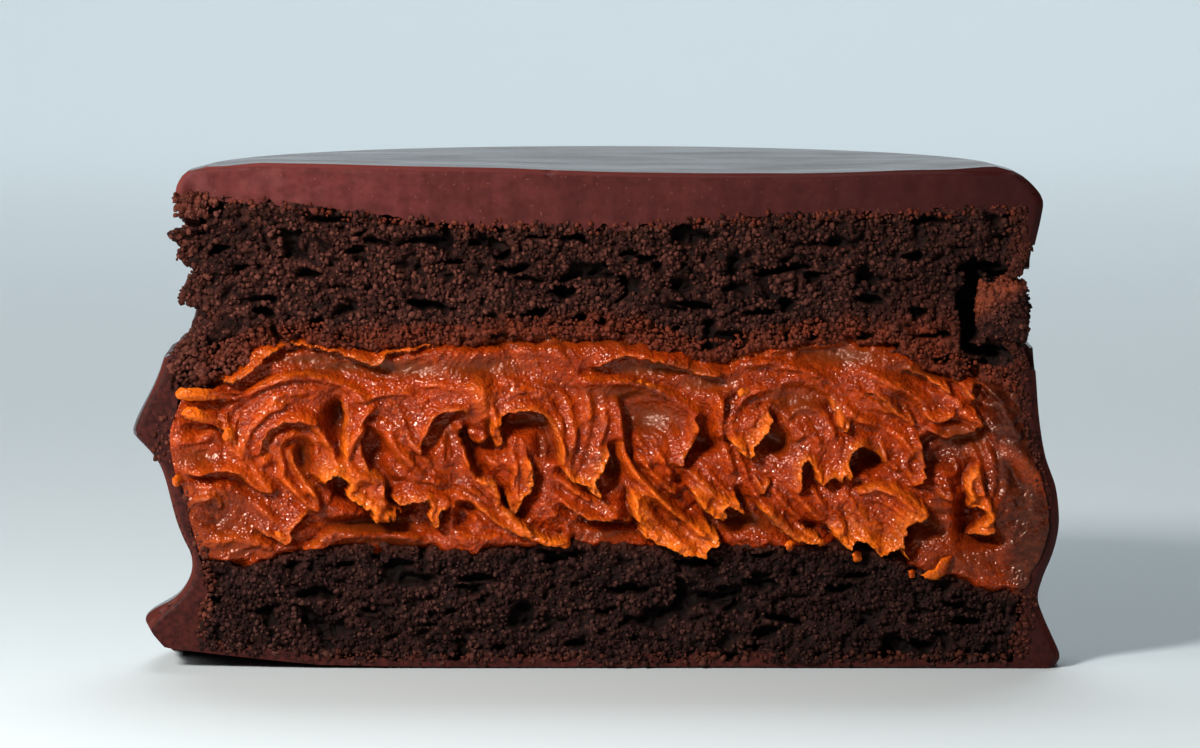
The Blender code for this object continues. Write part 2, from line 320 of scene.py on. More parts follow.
def back_turn(left_fine, right_fine, fine_step, coarse_step):
    """Angles round the back from the right end of the cut to the left one. Exposed ends are fine, in mm."""
    radius = 29.0
    start = -math.asin(AXIS_D / radius)
    length = (math.pi - 2 * start) * radius
    stops = [np.arange(fine_step, right_fine, fine_step)]
    stops.append(np.linspace(right_fine, length - left_fine, round((length - left_fine - right_fine) / coarse_step)))
    stops.append(np.arange(length - left_fine + fine_step, length, fine_step))
    return start + np.concatenate(stops) / radius


# ---------------------------------------------------------------------------------------------------
# Cookie crumb
# ---------------------------------------------------------------------------------------------------

# Long dark tears in the cut face of the top cookie: X, Z, half length, half height, depth, tilt in degrees.
TOP_TEARS = (
    (-12.2, 25.2, 1.3, 0.35, 1.6, -8), (-10.6, 28.3, 1.1, 0.3, 1.2, 4), (-6.0, 27.9, 1.0, 0.35, 1.3, 10),
    (-2.8, 26.3, 0.8, 0.5, 1.6, -12), (-4.8, 24.8, 0.9, 0.3, 1.3, 5), (-1.8, 24.4, 0.8, 0.25, 1.2, 0),
    (-4.6, 30.0, 0.8, 0.25, 1.0, 6), (-1.6, 29.8, 0.9, 0.25, 1.0, -5), (12.4, 27.7, 2.2, 0.3, 1.4, 7),
    (6.2, 25.2, 1.4, 0.3, 1.3, -6), (9.4, 22.9, 0.7, 0.5, 1.5, 10), (18.4, 25.6, 1.0, 0.3, 1.2, -5),
    (21.5, 28.6, 0.9, 0.3, 1.0, 8), (-20.3, 27.4, 0.9, 0.35, 1.1, 12), (-23.6, 24.8, 0.8, 0.3, 1.2, -10),
    (-17.2, 29.1, 0.8, 0.25, 1.0, 5), (16.6, 29.8, 0.8, 0.22, 0.9, 0), (25.3, 25.4, 0.75, 3.3, 2.8, -4),
    (27.0, 22.3, 2.0, 0.55, 2.6, 8), (27.4, 27.6, 2.0, 0.5, 2.6, -8), (3.0, 28.5, 0.9, 0.25, 1.0, -4),
    (-26.4, 29.2, 0.8, 0.3, 1.1, 20), (-26.2, 22.6, 0.7, 0.35, 1.2, 30),
)
BOTTOM_TEARS = (
    (-20.0, 5.2, 1.6, 0.4, 1.1, 5), (-8.6, 6.2, 1.4, 0.35, 1.0, -4), (1.5, 5.4, 1.5, 0.4, 1.1, 3),
    (11.0, 5.8, 1.2, 0.35, 1.0, -6), (17.5, 6.4, 1.0, 0.3, 1.0, 8), (24.4, 4.4, 0.9, 0.35, 0.9, -5),
    (-14.2, 7.3, 1.3, 0.3, 1.2, 2), (6.4, 7.4, 1.6, 0.3, 1.2, 0), (-3.4, 7.6, 1.0, 0.25, 1.1, 3),
)


def crumb_relief(points, seed, tears):
    """How far each point stands out, a random tone per grain, and how deep in a gap it lies, which is painted as shade.
    """
    drift = np.stack([clouds(points, 0.9, seed + k) for k in range(3)], axis=-1) * 0.25
    place = points + drift
    swell = 0.3 * clouds(place, (3.4, 3.4, 2.2), seed + 3)
    clump, _ = lumps(place / np.array([1.35, 1.35, 1.0]), 1.7, seed + 7)
    big, tone = lumps(place, 0.5, seed + 5)
    pore = smooth(clouds(place, (1.8, 1.8, 0.8), seed + 25), 0.38, 0.8)
    crack = smooth(clump, 0.34, 0.1) * smooth(clouds(place, 3.0, seed + 8), -0.5, 0.5)
    pinhole = smooth(clouds(place, (0.7, 0.7, 0.5), seed + 26), 0.3, 0.8)
    for x, z, half_long, half_high, depth, tilt in tears:
        turn = math.radians(tilt)
        right, up = place[:, 0] - x, place[:, 2] - z
        along = (right * math.cos(turn) + up * math.sin(turn)) / half_long
        over = (up * math.cos(turn) - right * math.sin(turn)) / half_high
        pore = np.maximum(pore, depth * smooth(along**2 + over**2, 1.3, 0.3))
    stand = swell + 0.42 * clump + (0.2 + 0.2 * tone) * big
    stand -= 0.9 * pore + 0.7 * crack + 0.4 * pinhole
    # Gap depth: pores, cracks, pinholes and the joints between grains, which the crumb material paints darker as shade.
    gap = np.clip(pore + 0.9 * crack + 0.6 * pinhole + 0.8 * (1.0 - big) ** 2, 0.0, 1.5)
    return stand - 0.4, tone, gap


# ---------------------------------------------------------------------------------------------------
# Caramel, torn into swirls
# ---------------------------------------------------------------------------------------------------

# Lips of the torn caramel. The body of the caramel is on the left of each line as it is drawn and rises
# to it, and the hollow that it curls over is on the right. (lift, how wide the rise is, depth of the
# hollow, width of the hollow, raggedness), then points (X, Z).
LIPS = (
    # Upper ledge at the left, and the folds under it
    ((0.9, 0.9, 0.9, 1.6, 0.08), ((-27.0, 20.0), (-25.6, 20.2), (-24.6, 20.9), (-23.4, 21.9), (-22.2, 22.4), (-20.8, 22.5), (-19.0, 22.1), (-17.2, 21.6), (-15.9, 21.2), (-15.2, 21.8), (-13.4, 22.2), (-11.5, 22.6))),
    ((0.5, 0.6, 0.8, 0.5, 0.03), ((-26.0, 20.6), (-25.2, 21.3), (-24.2, 22.0), (-23.2, 22.4))),
    ((0.7, 1.0, 0.5, 0.9, 0.02), ((-16.2, 19.2), (-17.8, 19.9), (-18.8, 20.3), (-20.0, 20.6), (-21.5, 20.7), (-22.4, 20.5), (-23.2, 20.2), (-24.0, 19.8), (-25.2, 19.1))),
    ((0.9, 1.2, 1.6, 1.3, 0.05), ((-18.4, 18.9), (-18.1, 17.8), (-18.2, 16.6), (-18.3, 15.5), (-18.0, 14.6))),
    # Left end
    ((0.9, 0.5, 0.8, 0.5, 0.05), ((-29.6, 19.6), (-29.2, 19.0), (-28.2, 18.8), (-27.2, 19.0), (-26.0, 18.8))),
    ((0.8, 0.5, 0.9, 0.6, 0.05), ((-29.2, 18.1), (-28.7, 17.6), (-28.0, 17.6), (-27.2, 17.4), (-26.6, 16.9), (-26.1, 16.2), (-25.6, 15.8))),
    ((0.5, 0.8, 0.7, 0.6, 0.05), ((-26.2, 17.0), (-27.4, 16.8), (-28.3, 16.2), (-28.9, 16.3), (-29.5, 16.0), (-30.0, 15.4))),
    ((0.7, 0.9, 0.7, 0.8, 0.03), ((-29.0, 13.7), (-27.5, 13.9), (-26.2, 14.0), (-25.3, 13.7), (-24.7, 12.9), (-23.9, 12.5), (-22.7, 12.3))),
    ((0.7, 0.7, 0.5, 0.6, 0.04), ((-26.3, 11.0), (-26.7, 12.0), (-27.3, 12.4), (-28.0, 12.3), (-28.8, 11.6))),
    ((0.3, 1.2, 0.3, 0.6, 0.02), ((-22.6, 8.5), (-24.2, 8.9), (-26.0, 8.9), (-27.8, 8.8))),
    ((0.9, 0.8, 0.7, 0.6, 0.10), ((-24.4, 10.0), (-23.4, 9.4), (-22.6, 9.0), (-21.9, 9.1), (-21.9, 9.9), (-21.2, 10.7), (-20.2, 11.0))),
    ((0.7, 0.9, 0.9, 0.9, 0.04), ((-12.4, 9.2), (-14.6, 9.6), (-17.0, 9.7), (-18.5, 9.8), (-19.4, 9.4), (-20.3, 8.8), (-21.3, 8.1))),
    # Looped ribs round the first hollow
    ((0.8, 0.5, 0.7, 0.45, 0.02), ((-22.1, 15.5), (-21.7, 14.4), (-21.0, 13.3), (-20.4, 12.4), (-19.8, 11.6))),
    ((0.6, 0.7, 0.5, 0.7, 0.02), ((-22.7, 15.2), (-22.3, 13.8), (-21.8, 12.8), (-21.0, 11.9), (-20.2, 11.2), (-19.6, 11.0))),
    ((0.6, 0.5, 0.9, 1.2, 0.03), ((-20.6, 10.9), (-19.8, 11.1), (-19.8, 11.8), (-20.3, 12.8), (-20.9, 13.8), (-21.3, 14.8), (-21.5, 15.8))),
    ((0.7, 1.2, 0.9, 1.6, 0.03), ((-24.0, 14.6), (-23.8, 16.0), (-23.3, 16.8), (-22.4, 17.4), (-21.2, 17.4), (-20.2, 16.8), (-19.4, 15.8), (-18.8, 14.9))),
    ((0.5, 0.7, 0.7, 1.0, 0.03), ((-22.7, 15.0), (-22.3, 16.0), (-21.7, 16.6), (-21.0, 16.7), (-20.3, 16.2), (-19.7, 15.2))),
    # Big torn flake left of the middle
    ((1.6, 2.2, 1.8, 1.3, 0.10), ((-19.6, 12.8), (-19.1, 13.9), (-18.4, 13.7), (-18.0, 13.0), (-17.9, 12.2), (-17.2, 11.7), (-16.4, 11.4), (-16.2, 10.7), (-15.8, 10.2), (-15.2, 10.2), (-15.1, 10.9), (-14.7, 10.4), (-14.5, 11.1), (-14.1, 10.9), (-14.2, 11.7))),
    ((0.8, 1.0, 1.4, 1.1, 0.06), ((-14.9, 11.7), (-15.4, 12.6), (-15.2, 13.3), (-15.8, 13.8), (-16.5, 14.4), (-16.8, 15.3), (-16.9, 16.2), (-16.3, 17.2))),
    ((0.6, 0.9, 0.8, 0.7, 0.03), ((-16.2, 17.0), (-15.4, 16.0), (-14.8, 15.3), (-14.2, 14.5), (-13.8, 13.7))),
    ((0.4, 0.6, 0.4, 0.8, 0.03), ((-17.8, 15.0), (-17.5, 16.3), (-17.0, 17.3), (-16.0, 18.2))),
    ((0.5, 0.8, 0.7, 0.7, 0.03), ((-15.4, 13.2), (-14.0, 13.3), (-12.8, 13.1), (-11.6, 12.9), (-10.4, 12.7), (-9.4, 12.2), (-8.7, 11.4), (-7.8, 10.7))),
    ((1.0, 1.0, 1.6, 1.2, 0.06), ((-15.1, 12.3), (-14.4, 11.7), (-13.8, 11.7), (-13.2, 11.9), (-12.4, 12.0), (-12.2, 11.2), (-12.3, 10.6), (-12.0, 10.1), (-11.6, 10.1), (-11.6, 10.9), (-11.4, 11.4), (-10.6, 11.5))),
    ((0.4, 0.4, 0.9, 0.4, 0.02), ((-11.5, 10.0), (-11.4, 10.8), (-11.0, 11.0), (-10.5, 10.6))),
    ((0.5, 0.6, 1.5, 1.0, 0.03), ((-10.4, 9.6), (-10.3, 10.8), (-10.2, 11.4), (-9.6, 11.6), (-9.1, 11.3), (-8.6, 10.7))),
    ((0.5, 0.8, 0.4, 0.5, 0.02), ((-5.6, 9.9), (-7.0, 9.6), (-8.2, 9.3), (-9.4, 9.4), (-10.4, 9.8))),
    # Bowl, hanging fold and the web that sweeps down from it
    ((0.8, 1.2, 1.1, 1.6, 0.04), ((-13.0, 15.0), (-12.7, 16.4), (-12.1, 17.4), (-11.2, 18.1), (-10.2, 18.3), (-9.5, 17.8))),
    ((0.6, 0.8, 0.5, 0.5, 0.04), ((-8.8, 15.5), (-8.1, 16.2), (-8.0, 17.0), (-7.9, 17.6))),
    ((0.8, 0.7, 1.8, 1.2, 0.05), ((-9.7, 17.0), (-9.3, 15.8), (-8.7, 15.6), (-8.2, 15.9), (-7.8, 16.5))),
    ((0.9, 0.35, 0.9, 0.6, 0.04), ((-7.9, 17.9), (-7.9, 16.6), (-7.7, 15.8), (-7.4, 15.4), (-7.1, 15.8), (-7.2, 16.8), (-7.3, 18.0))),
    ((0.8, 0.9, 1.6, 1.3, 0.05), ((-8.4, 13.1), (-9.1, 13.8), (-9.4, 14.6), (-9.6, 15.4), (-9.9, 16.3), (-9.7, 17.4))),
    ((1.0, 1.2, 1.3, 1.0, 0.05), ((-2.4, 9.5), (-3.4, 9.3), (-4.4, 9.5), (-5.4, 10.1), (-6.3, 10.8), (-6.9, 11.4), (-7.3, 12.2), (-7.6, 12.9), (-8.3, 13.3), (-9.1, 13.4))),
    ((0.8, 1.0, 0.9, 0.7, 0.06), ((-9.2, 11.8), (-8.4, 11.0), (-7.6, 10.4), (-6.6, 9.9), (-5.6, 9.4), (-4.6, 9.0), (-3.6, 8.8), (-2.9, 8.7), (-2.4, 8.9), (-2.2, 9.6))),
    ((0.6, 0.4, 0.5, 0.4, 0.03), ((-2.7, 9.9), (-2.3, 10.1), (-1.8, 9.9), (-1.6, 9.4))),
    # Arch, the tongue inside it and the flake to its right
    ((0.9, 1.3, 1.8, 1.5, 0.04), ((-7.5, 16.8), (-7.0, 17.8), (-6.2, 18.2), (-5.2, 18.2), (-4.4, 17.9), (-3.8, 17.1), (-3.4, 16.2), (-3.3, 15.3), (-3.3, 14.2))),
    ((1.1, 1.3, 0.9, 0.9, 0.07), ((-7.0, 12.6), (-6.6, 11.2), (-6.2, 10.8), (-5.8, 11.3), (-5.7, 12.0), (-5.2, 12.5), (-4.95, 13.2), (-5.1, 14.2), (-5.4, 15.3))),
    ((1.2, 1.6, 1.2, 1.0, 0.08), ((-3.3, 14.4), (-2.5, 13.5), (-2.0, 13.2), (-1.5, 13.2), (-1.1, 12.6), (-0.6, 12.3), (-0.6, 12.9), (-0.8, 13.6), (-0.4, 14.3), (0.0, 15.0), (0.1, 16.0))),
    ((0.5, 0.4, 1.2, 0.8, 0.03), ((1.2, 16.4), (0.9, 15.2), (0.9, 14.4), (1.3, 13.4))),
    ((0.7, 1.0, 0.9, 2.2, 0.03), ((1.7, 14.3), (1.4, 15.6), (1.3, 16.8), (1.2, 18.0), (0.9, 19.2))),
    ((0.6, 0.8, 0.4, 0.5, 0.03), ((-3.2, 12.9), (-1.8, 12.2), (-0.6, 11.7), (0.6, 11.2), (1.5, 10.8), (2.3, 10.3))),
    ((0.8, 0.9, 1.3, 0.8, 0.05), ((-3.2, 11.8), (-2.0, 11.0), (-0.9, 10.6), (0.2, 10.4), (1.3, 10.2), (2.0, 10.3), (2.0, 10.8))),
    # Big torn flake right of the middle, its long ribs and the smooth wave over it
    ((1.9, 2.4, 1.5, 0.9, 0.10), ((1.4, 13.0), (1.7, 11.8), (1.9, 11.0), (2.4, 10.4), (2.4, 9.7), (3.0, 9.3), (3.8, 8.9), (4.6, 8.6), (5.4, 8.4), (6.1, 8.3), (6.8, 8.1), (6.9, 8.8), (7.5, 9.2), (7.6, 9.7), (7.1, 10.0), (6.8, 10.8))),
    ((0.9, 0.9, 0.8, 0.8, 0.03), ((6.9, 9.9), (5.6, 10.8), (4.6, 11.6), (3.6, 12.5), (2.7, 13.5), (1.9, 14.4), (1.4, 15.5))),
    ((0.5, 0.6, 0.5, 0.6, 0.03), ((5.2, 12.1), (4.4, 12.9), (3.5, 13.6), (2.7, 14.5), (2.1, 15.5))),
    ((0.6, 0.5, 0.7, 0.5, 0.05), ((4.0, 12.9), (4.7, 12.2), (5.1, 12.4), (5.0, 12.9), (4.3, 13.7))),
    ((0.6, 1.2, 0.8, 1.2, 0.03), ((7.4, 17.6), (6.3, 18.3), (5.0, 19.1), (3.5, 19.7), (1.5, 20.2), (-0.4, 20.3), (-2.0, 20.4))),
    ((0.8, 0.9, 0.8, 1.1, 0.06), ((-1.0, 20.8), (-0.1, 21.3), (0.5, 21.7), (1.6, 21.8), (3.2, 21.6), (4.4, 21.2), (5.8, 20.8), (7.3, 20.4), (8.5, 20.5))),
    ((0.9, 0.8, 1.5, 1.1, 0.06), ((5.4, 14.0), (5.5, 15.0), (5.9, 15.5), (6.4, 16.1), (6.5, 16.8), (6.1, 17.8))),
    ((0.5, 0.6, 1.1, 0.7, 0.04), ((4.0, 14.6), (4.8, 14.3), (5.6, 14.1))),
    ((1.5, 1.8, 1.6, 1.1, 0.08), ((5.6, 13.1), (6.4, 11.8), (6.9, 11.2), (7.5, 10.9), (8.1, 10.6), (8.2, 11.1), (8.0, 11.5), (8.4, 11.7), (8.9, 11.4), (9.4, 11.2), (9.2, 11.9), (8.8, 12.8))),
    ((0.6, 0.7, 0.5, 0.8, 0.03), ((8.5, 12.0), (7.4, 12.7), (6.6, 13.4), (6.0, 13.9), (5.5, 14.7))),
    # Fleck, rings and ledges right of it
    ((1.3, 1.0, 1.3, 1.2, 0.08), ((8.4, 16.6), (8.7, 16.0), (9.1, 15.7), (9.6, 15.0), (10.1, 15.4), (10.3, 16.0), (10.8, 16.4), (11.2, 17.0), (11.6, 18.2))),
    ((0.4, 0.8, 0.5, 0.8, 0.03), ((8.1, 17.4), (8.3, 18.6), (9.0, 19.2), (10.4, 19.7))),
    ((0.3, 0.5, 0.4, 0.6, 0.03), ((9.1, 17.6), (9.6, 18.4), (10.4, 18.9), (11.6, 19.2))),
    ((0.5, 0.8, 0.5, 1.8, 0.03), ((12.0, 19.7), (13.6, 19.8), (14.8, 19.5), (15.6, 18.9), (16.2, 18.0), (16.5, 17.0))),
    ((0.6, 0.7, 0.6, 0.5, 0.05), ((8.4, 21.0), (9.4, 21.7), (10.6, 21.9), (11.8, 21.9), (13.1, 22.1))),
    ((0.5, 0.5, 0.5, 0.5, 0.05), ((9.4, 20.8), (10.8, 21.1), (11.6, 21.0), (12.4, 20.6))),
    ((0.5, 0.7, 0.5, 0.6, 0.05), ((11.8, 20.9), (13.4, 20.6), (14.6, 20.2), (15.4, 19.8))),
    ((0.5, 0.6, 0.7, 1.2, 0.05), ((13.0, 22.2), (14.6, 22.3), (15.8, 22.5), (17.2, 22.8))),
    ((0.9, 0.5, 0.8, 0.6, 0.05), ((15.4, 18.9), (16.0, 17.8), (16.2, 17.0), (16.5, 16.7), (16.9, 17.1), (17.2, 17.6))),
    ((1.0, 1.0, 1.9, 1.8, 0.05), ((16.9, 13.2), (16.9, 14.4), (17.0, 15.2), (17.6, 15.6), (18.3, 15.3), (18.9, 14.8), (19.6, 14.2))),
    ((1.0, 0.8, 1.3, 1.0, 0.05), ((13.4, 12.3), (13.4, 13.6), (13.5, 14.4), (13.9, 14.7), (14.3, 14.4), (14.5, 13.7), (14.8, 13.0), (15.2, 13.3), (15.7, 13.7), (16.1, 13.2), (16.4, 13.9), (16.9, 13.1))),
    ((0.8, 0.9, 0.7, 0.7, 0.05), ((17.8, 19.5), (18.9, 19.1), (19.6, 18.4), (20.2, 17.8), (20.9, 17.3), (21.4, 17.0), (21.3, 17.6), (20.9, 18.4))),
    ((0.8, 0.6, 0.6, 0.5, 0.05), ((21.7, 18.2), (22.4, 17.5), (23.1, 17.2), (23.8, 17.5), (24.5, 18.2))),
    ((0.8, 0.8, 1.2, 1.4, 0.05), ((22.2, 16.8), (23.4, 16.1), (24.4, 16.2), (25.4, 16.4), (26.1, 17.0), (25.9, 17.8), (25.3, 18.6))),
    ((0.9, 0.6, 0.8, 0.7, 0.06), ((20.6, 20.9), (22.0, 20.4), (22.9, 19.9), (23.7, 19.3), (23.9, 19.6), (23.5, 20.4))),
    ((0.8, 0.6, 0.9, 0.8, 0.06), ((23.8, 20.3), (24.8, 19.6), (25.3, 18.9), (25.6, 18.8), (25.5, 19.6), (25.9, 19.8), (26.8, 19.2), (27.3, 18.6))),
    ((0.9, 1.2, 1.4, 1.4, 0.06), ((21.3, 12.6), (22.0, 13.6), (22.1, 14.4), (22.0, 15.4), (21.8, 16.4))),
    ((0.6, 0.8, 0.8, 0.6, 0.04), ((19.2, 15.7), (19.3, 14.6), (20.0, 14.0), (20.8, 13.8), (21.5, 13.0))),
    # Lowest tongue at the right, with rings over it
    ((0.8, 1.4, 0.8, 0.8, 0.05), ((22.4, 11.2), (21.4, 12.2), (20.4, 12.8), (19.2, 13.1), (18.0, 13.0), (17.0, 12.5))),
    ((0.4, 0.5, 0.4, 0.5, 0.03), ((17.2, 12.2), (17.9, 10.9), (18.7, 10.2), (19.8, 9.6))),
    ((0.4, 0.5, 0.4, 0.5, 0.03), ((16.4, 12.0), (17.0, 10.6), (17.9, 9.7))),
    ((1.7, 2.2, 1.6, 1.1, 0.10), ((15.2, 10.3), (16.0, 9.4), (16.6, 8.7), (16.9, 9.0), (17.3, 9.3), (17.9, 9.1), (18.5, 8.6), (19.0, 8.2), (19.7, 8.4), (20.2, 8.6), (20.7, 8.2), (20.5, 9.0), (20.7, 9.7), (20.9, 10.4), (21.6, 10.7), (22.0, 11.0), (22.5, 11.5))),
    ((1.1, 1.3, 1.1, 0.8, 0.08), ((10.4, 11.6), (11.4, 10.6), (12.2, 9.8), (13.0, 9.3), (13.8, 9.0), (14.7, 9.0), (14.7, 9.5), (14.1, 9.8), (13.3, 10.4))),
    ((0.4, 0.5, 0.4, 0.5, 0.03), ((9.8, 12.6), (10.6, 11.6), (11.6, 10.7))),
    ((0.5, 0.7, 0.5, 0.5, 0.03), ((13.4, 12.3), (14.2, 11.2), (15.0, 10.4), (16.0, 9.4))),
    ((0.9, 0.4, 0.5, 0.4, 0.04), ((10.1, 13.8), (10.6, 12.9), (10.9, 12.3), (11.1, 12.9), (11.4, 13.3), (10.8, 13.5))),
    # Tongue that hangs at the right end, and the smears on the coat beside it
    ((1.2, 1.1, 1.6, 1.0, 0.07), ((26.0, 14.5), (25.4, 14.1), (25.0, 13.4), (25.0, 12.8), (25.2, 12.2), (25.1, 11.6), (25.2, 11.1), (25.7, 11.4), (26.2, 11.3), (26.3, 10.6), (25.9, 10.2), (25.3, 9.5), (25.6, 9.3), (26.4, 9.6), (27.4, 9.9))),
    ((0.7, 0.5, 0.6, 0.5, 0.05), ((22.7, 13.1), (23.2, 12.2), (23.9, 12.0), (24.1, 12.6), (23.7, 13.4))),
    ((0.4, 0.5, 0.3, 0.6, 0.03), ((26.4, 19.6), (27.6, 18.0), (28.1, 16.8), (28.7, 15.0))),
    ((0.4, 0.5, 0.3, 0.6, 0.03), ((27.2, 16.0), (28.0, 14.6), (28.8, 13.4), (30.0, 12.5))),
)

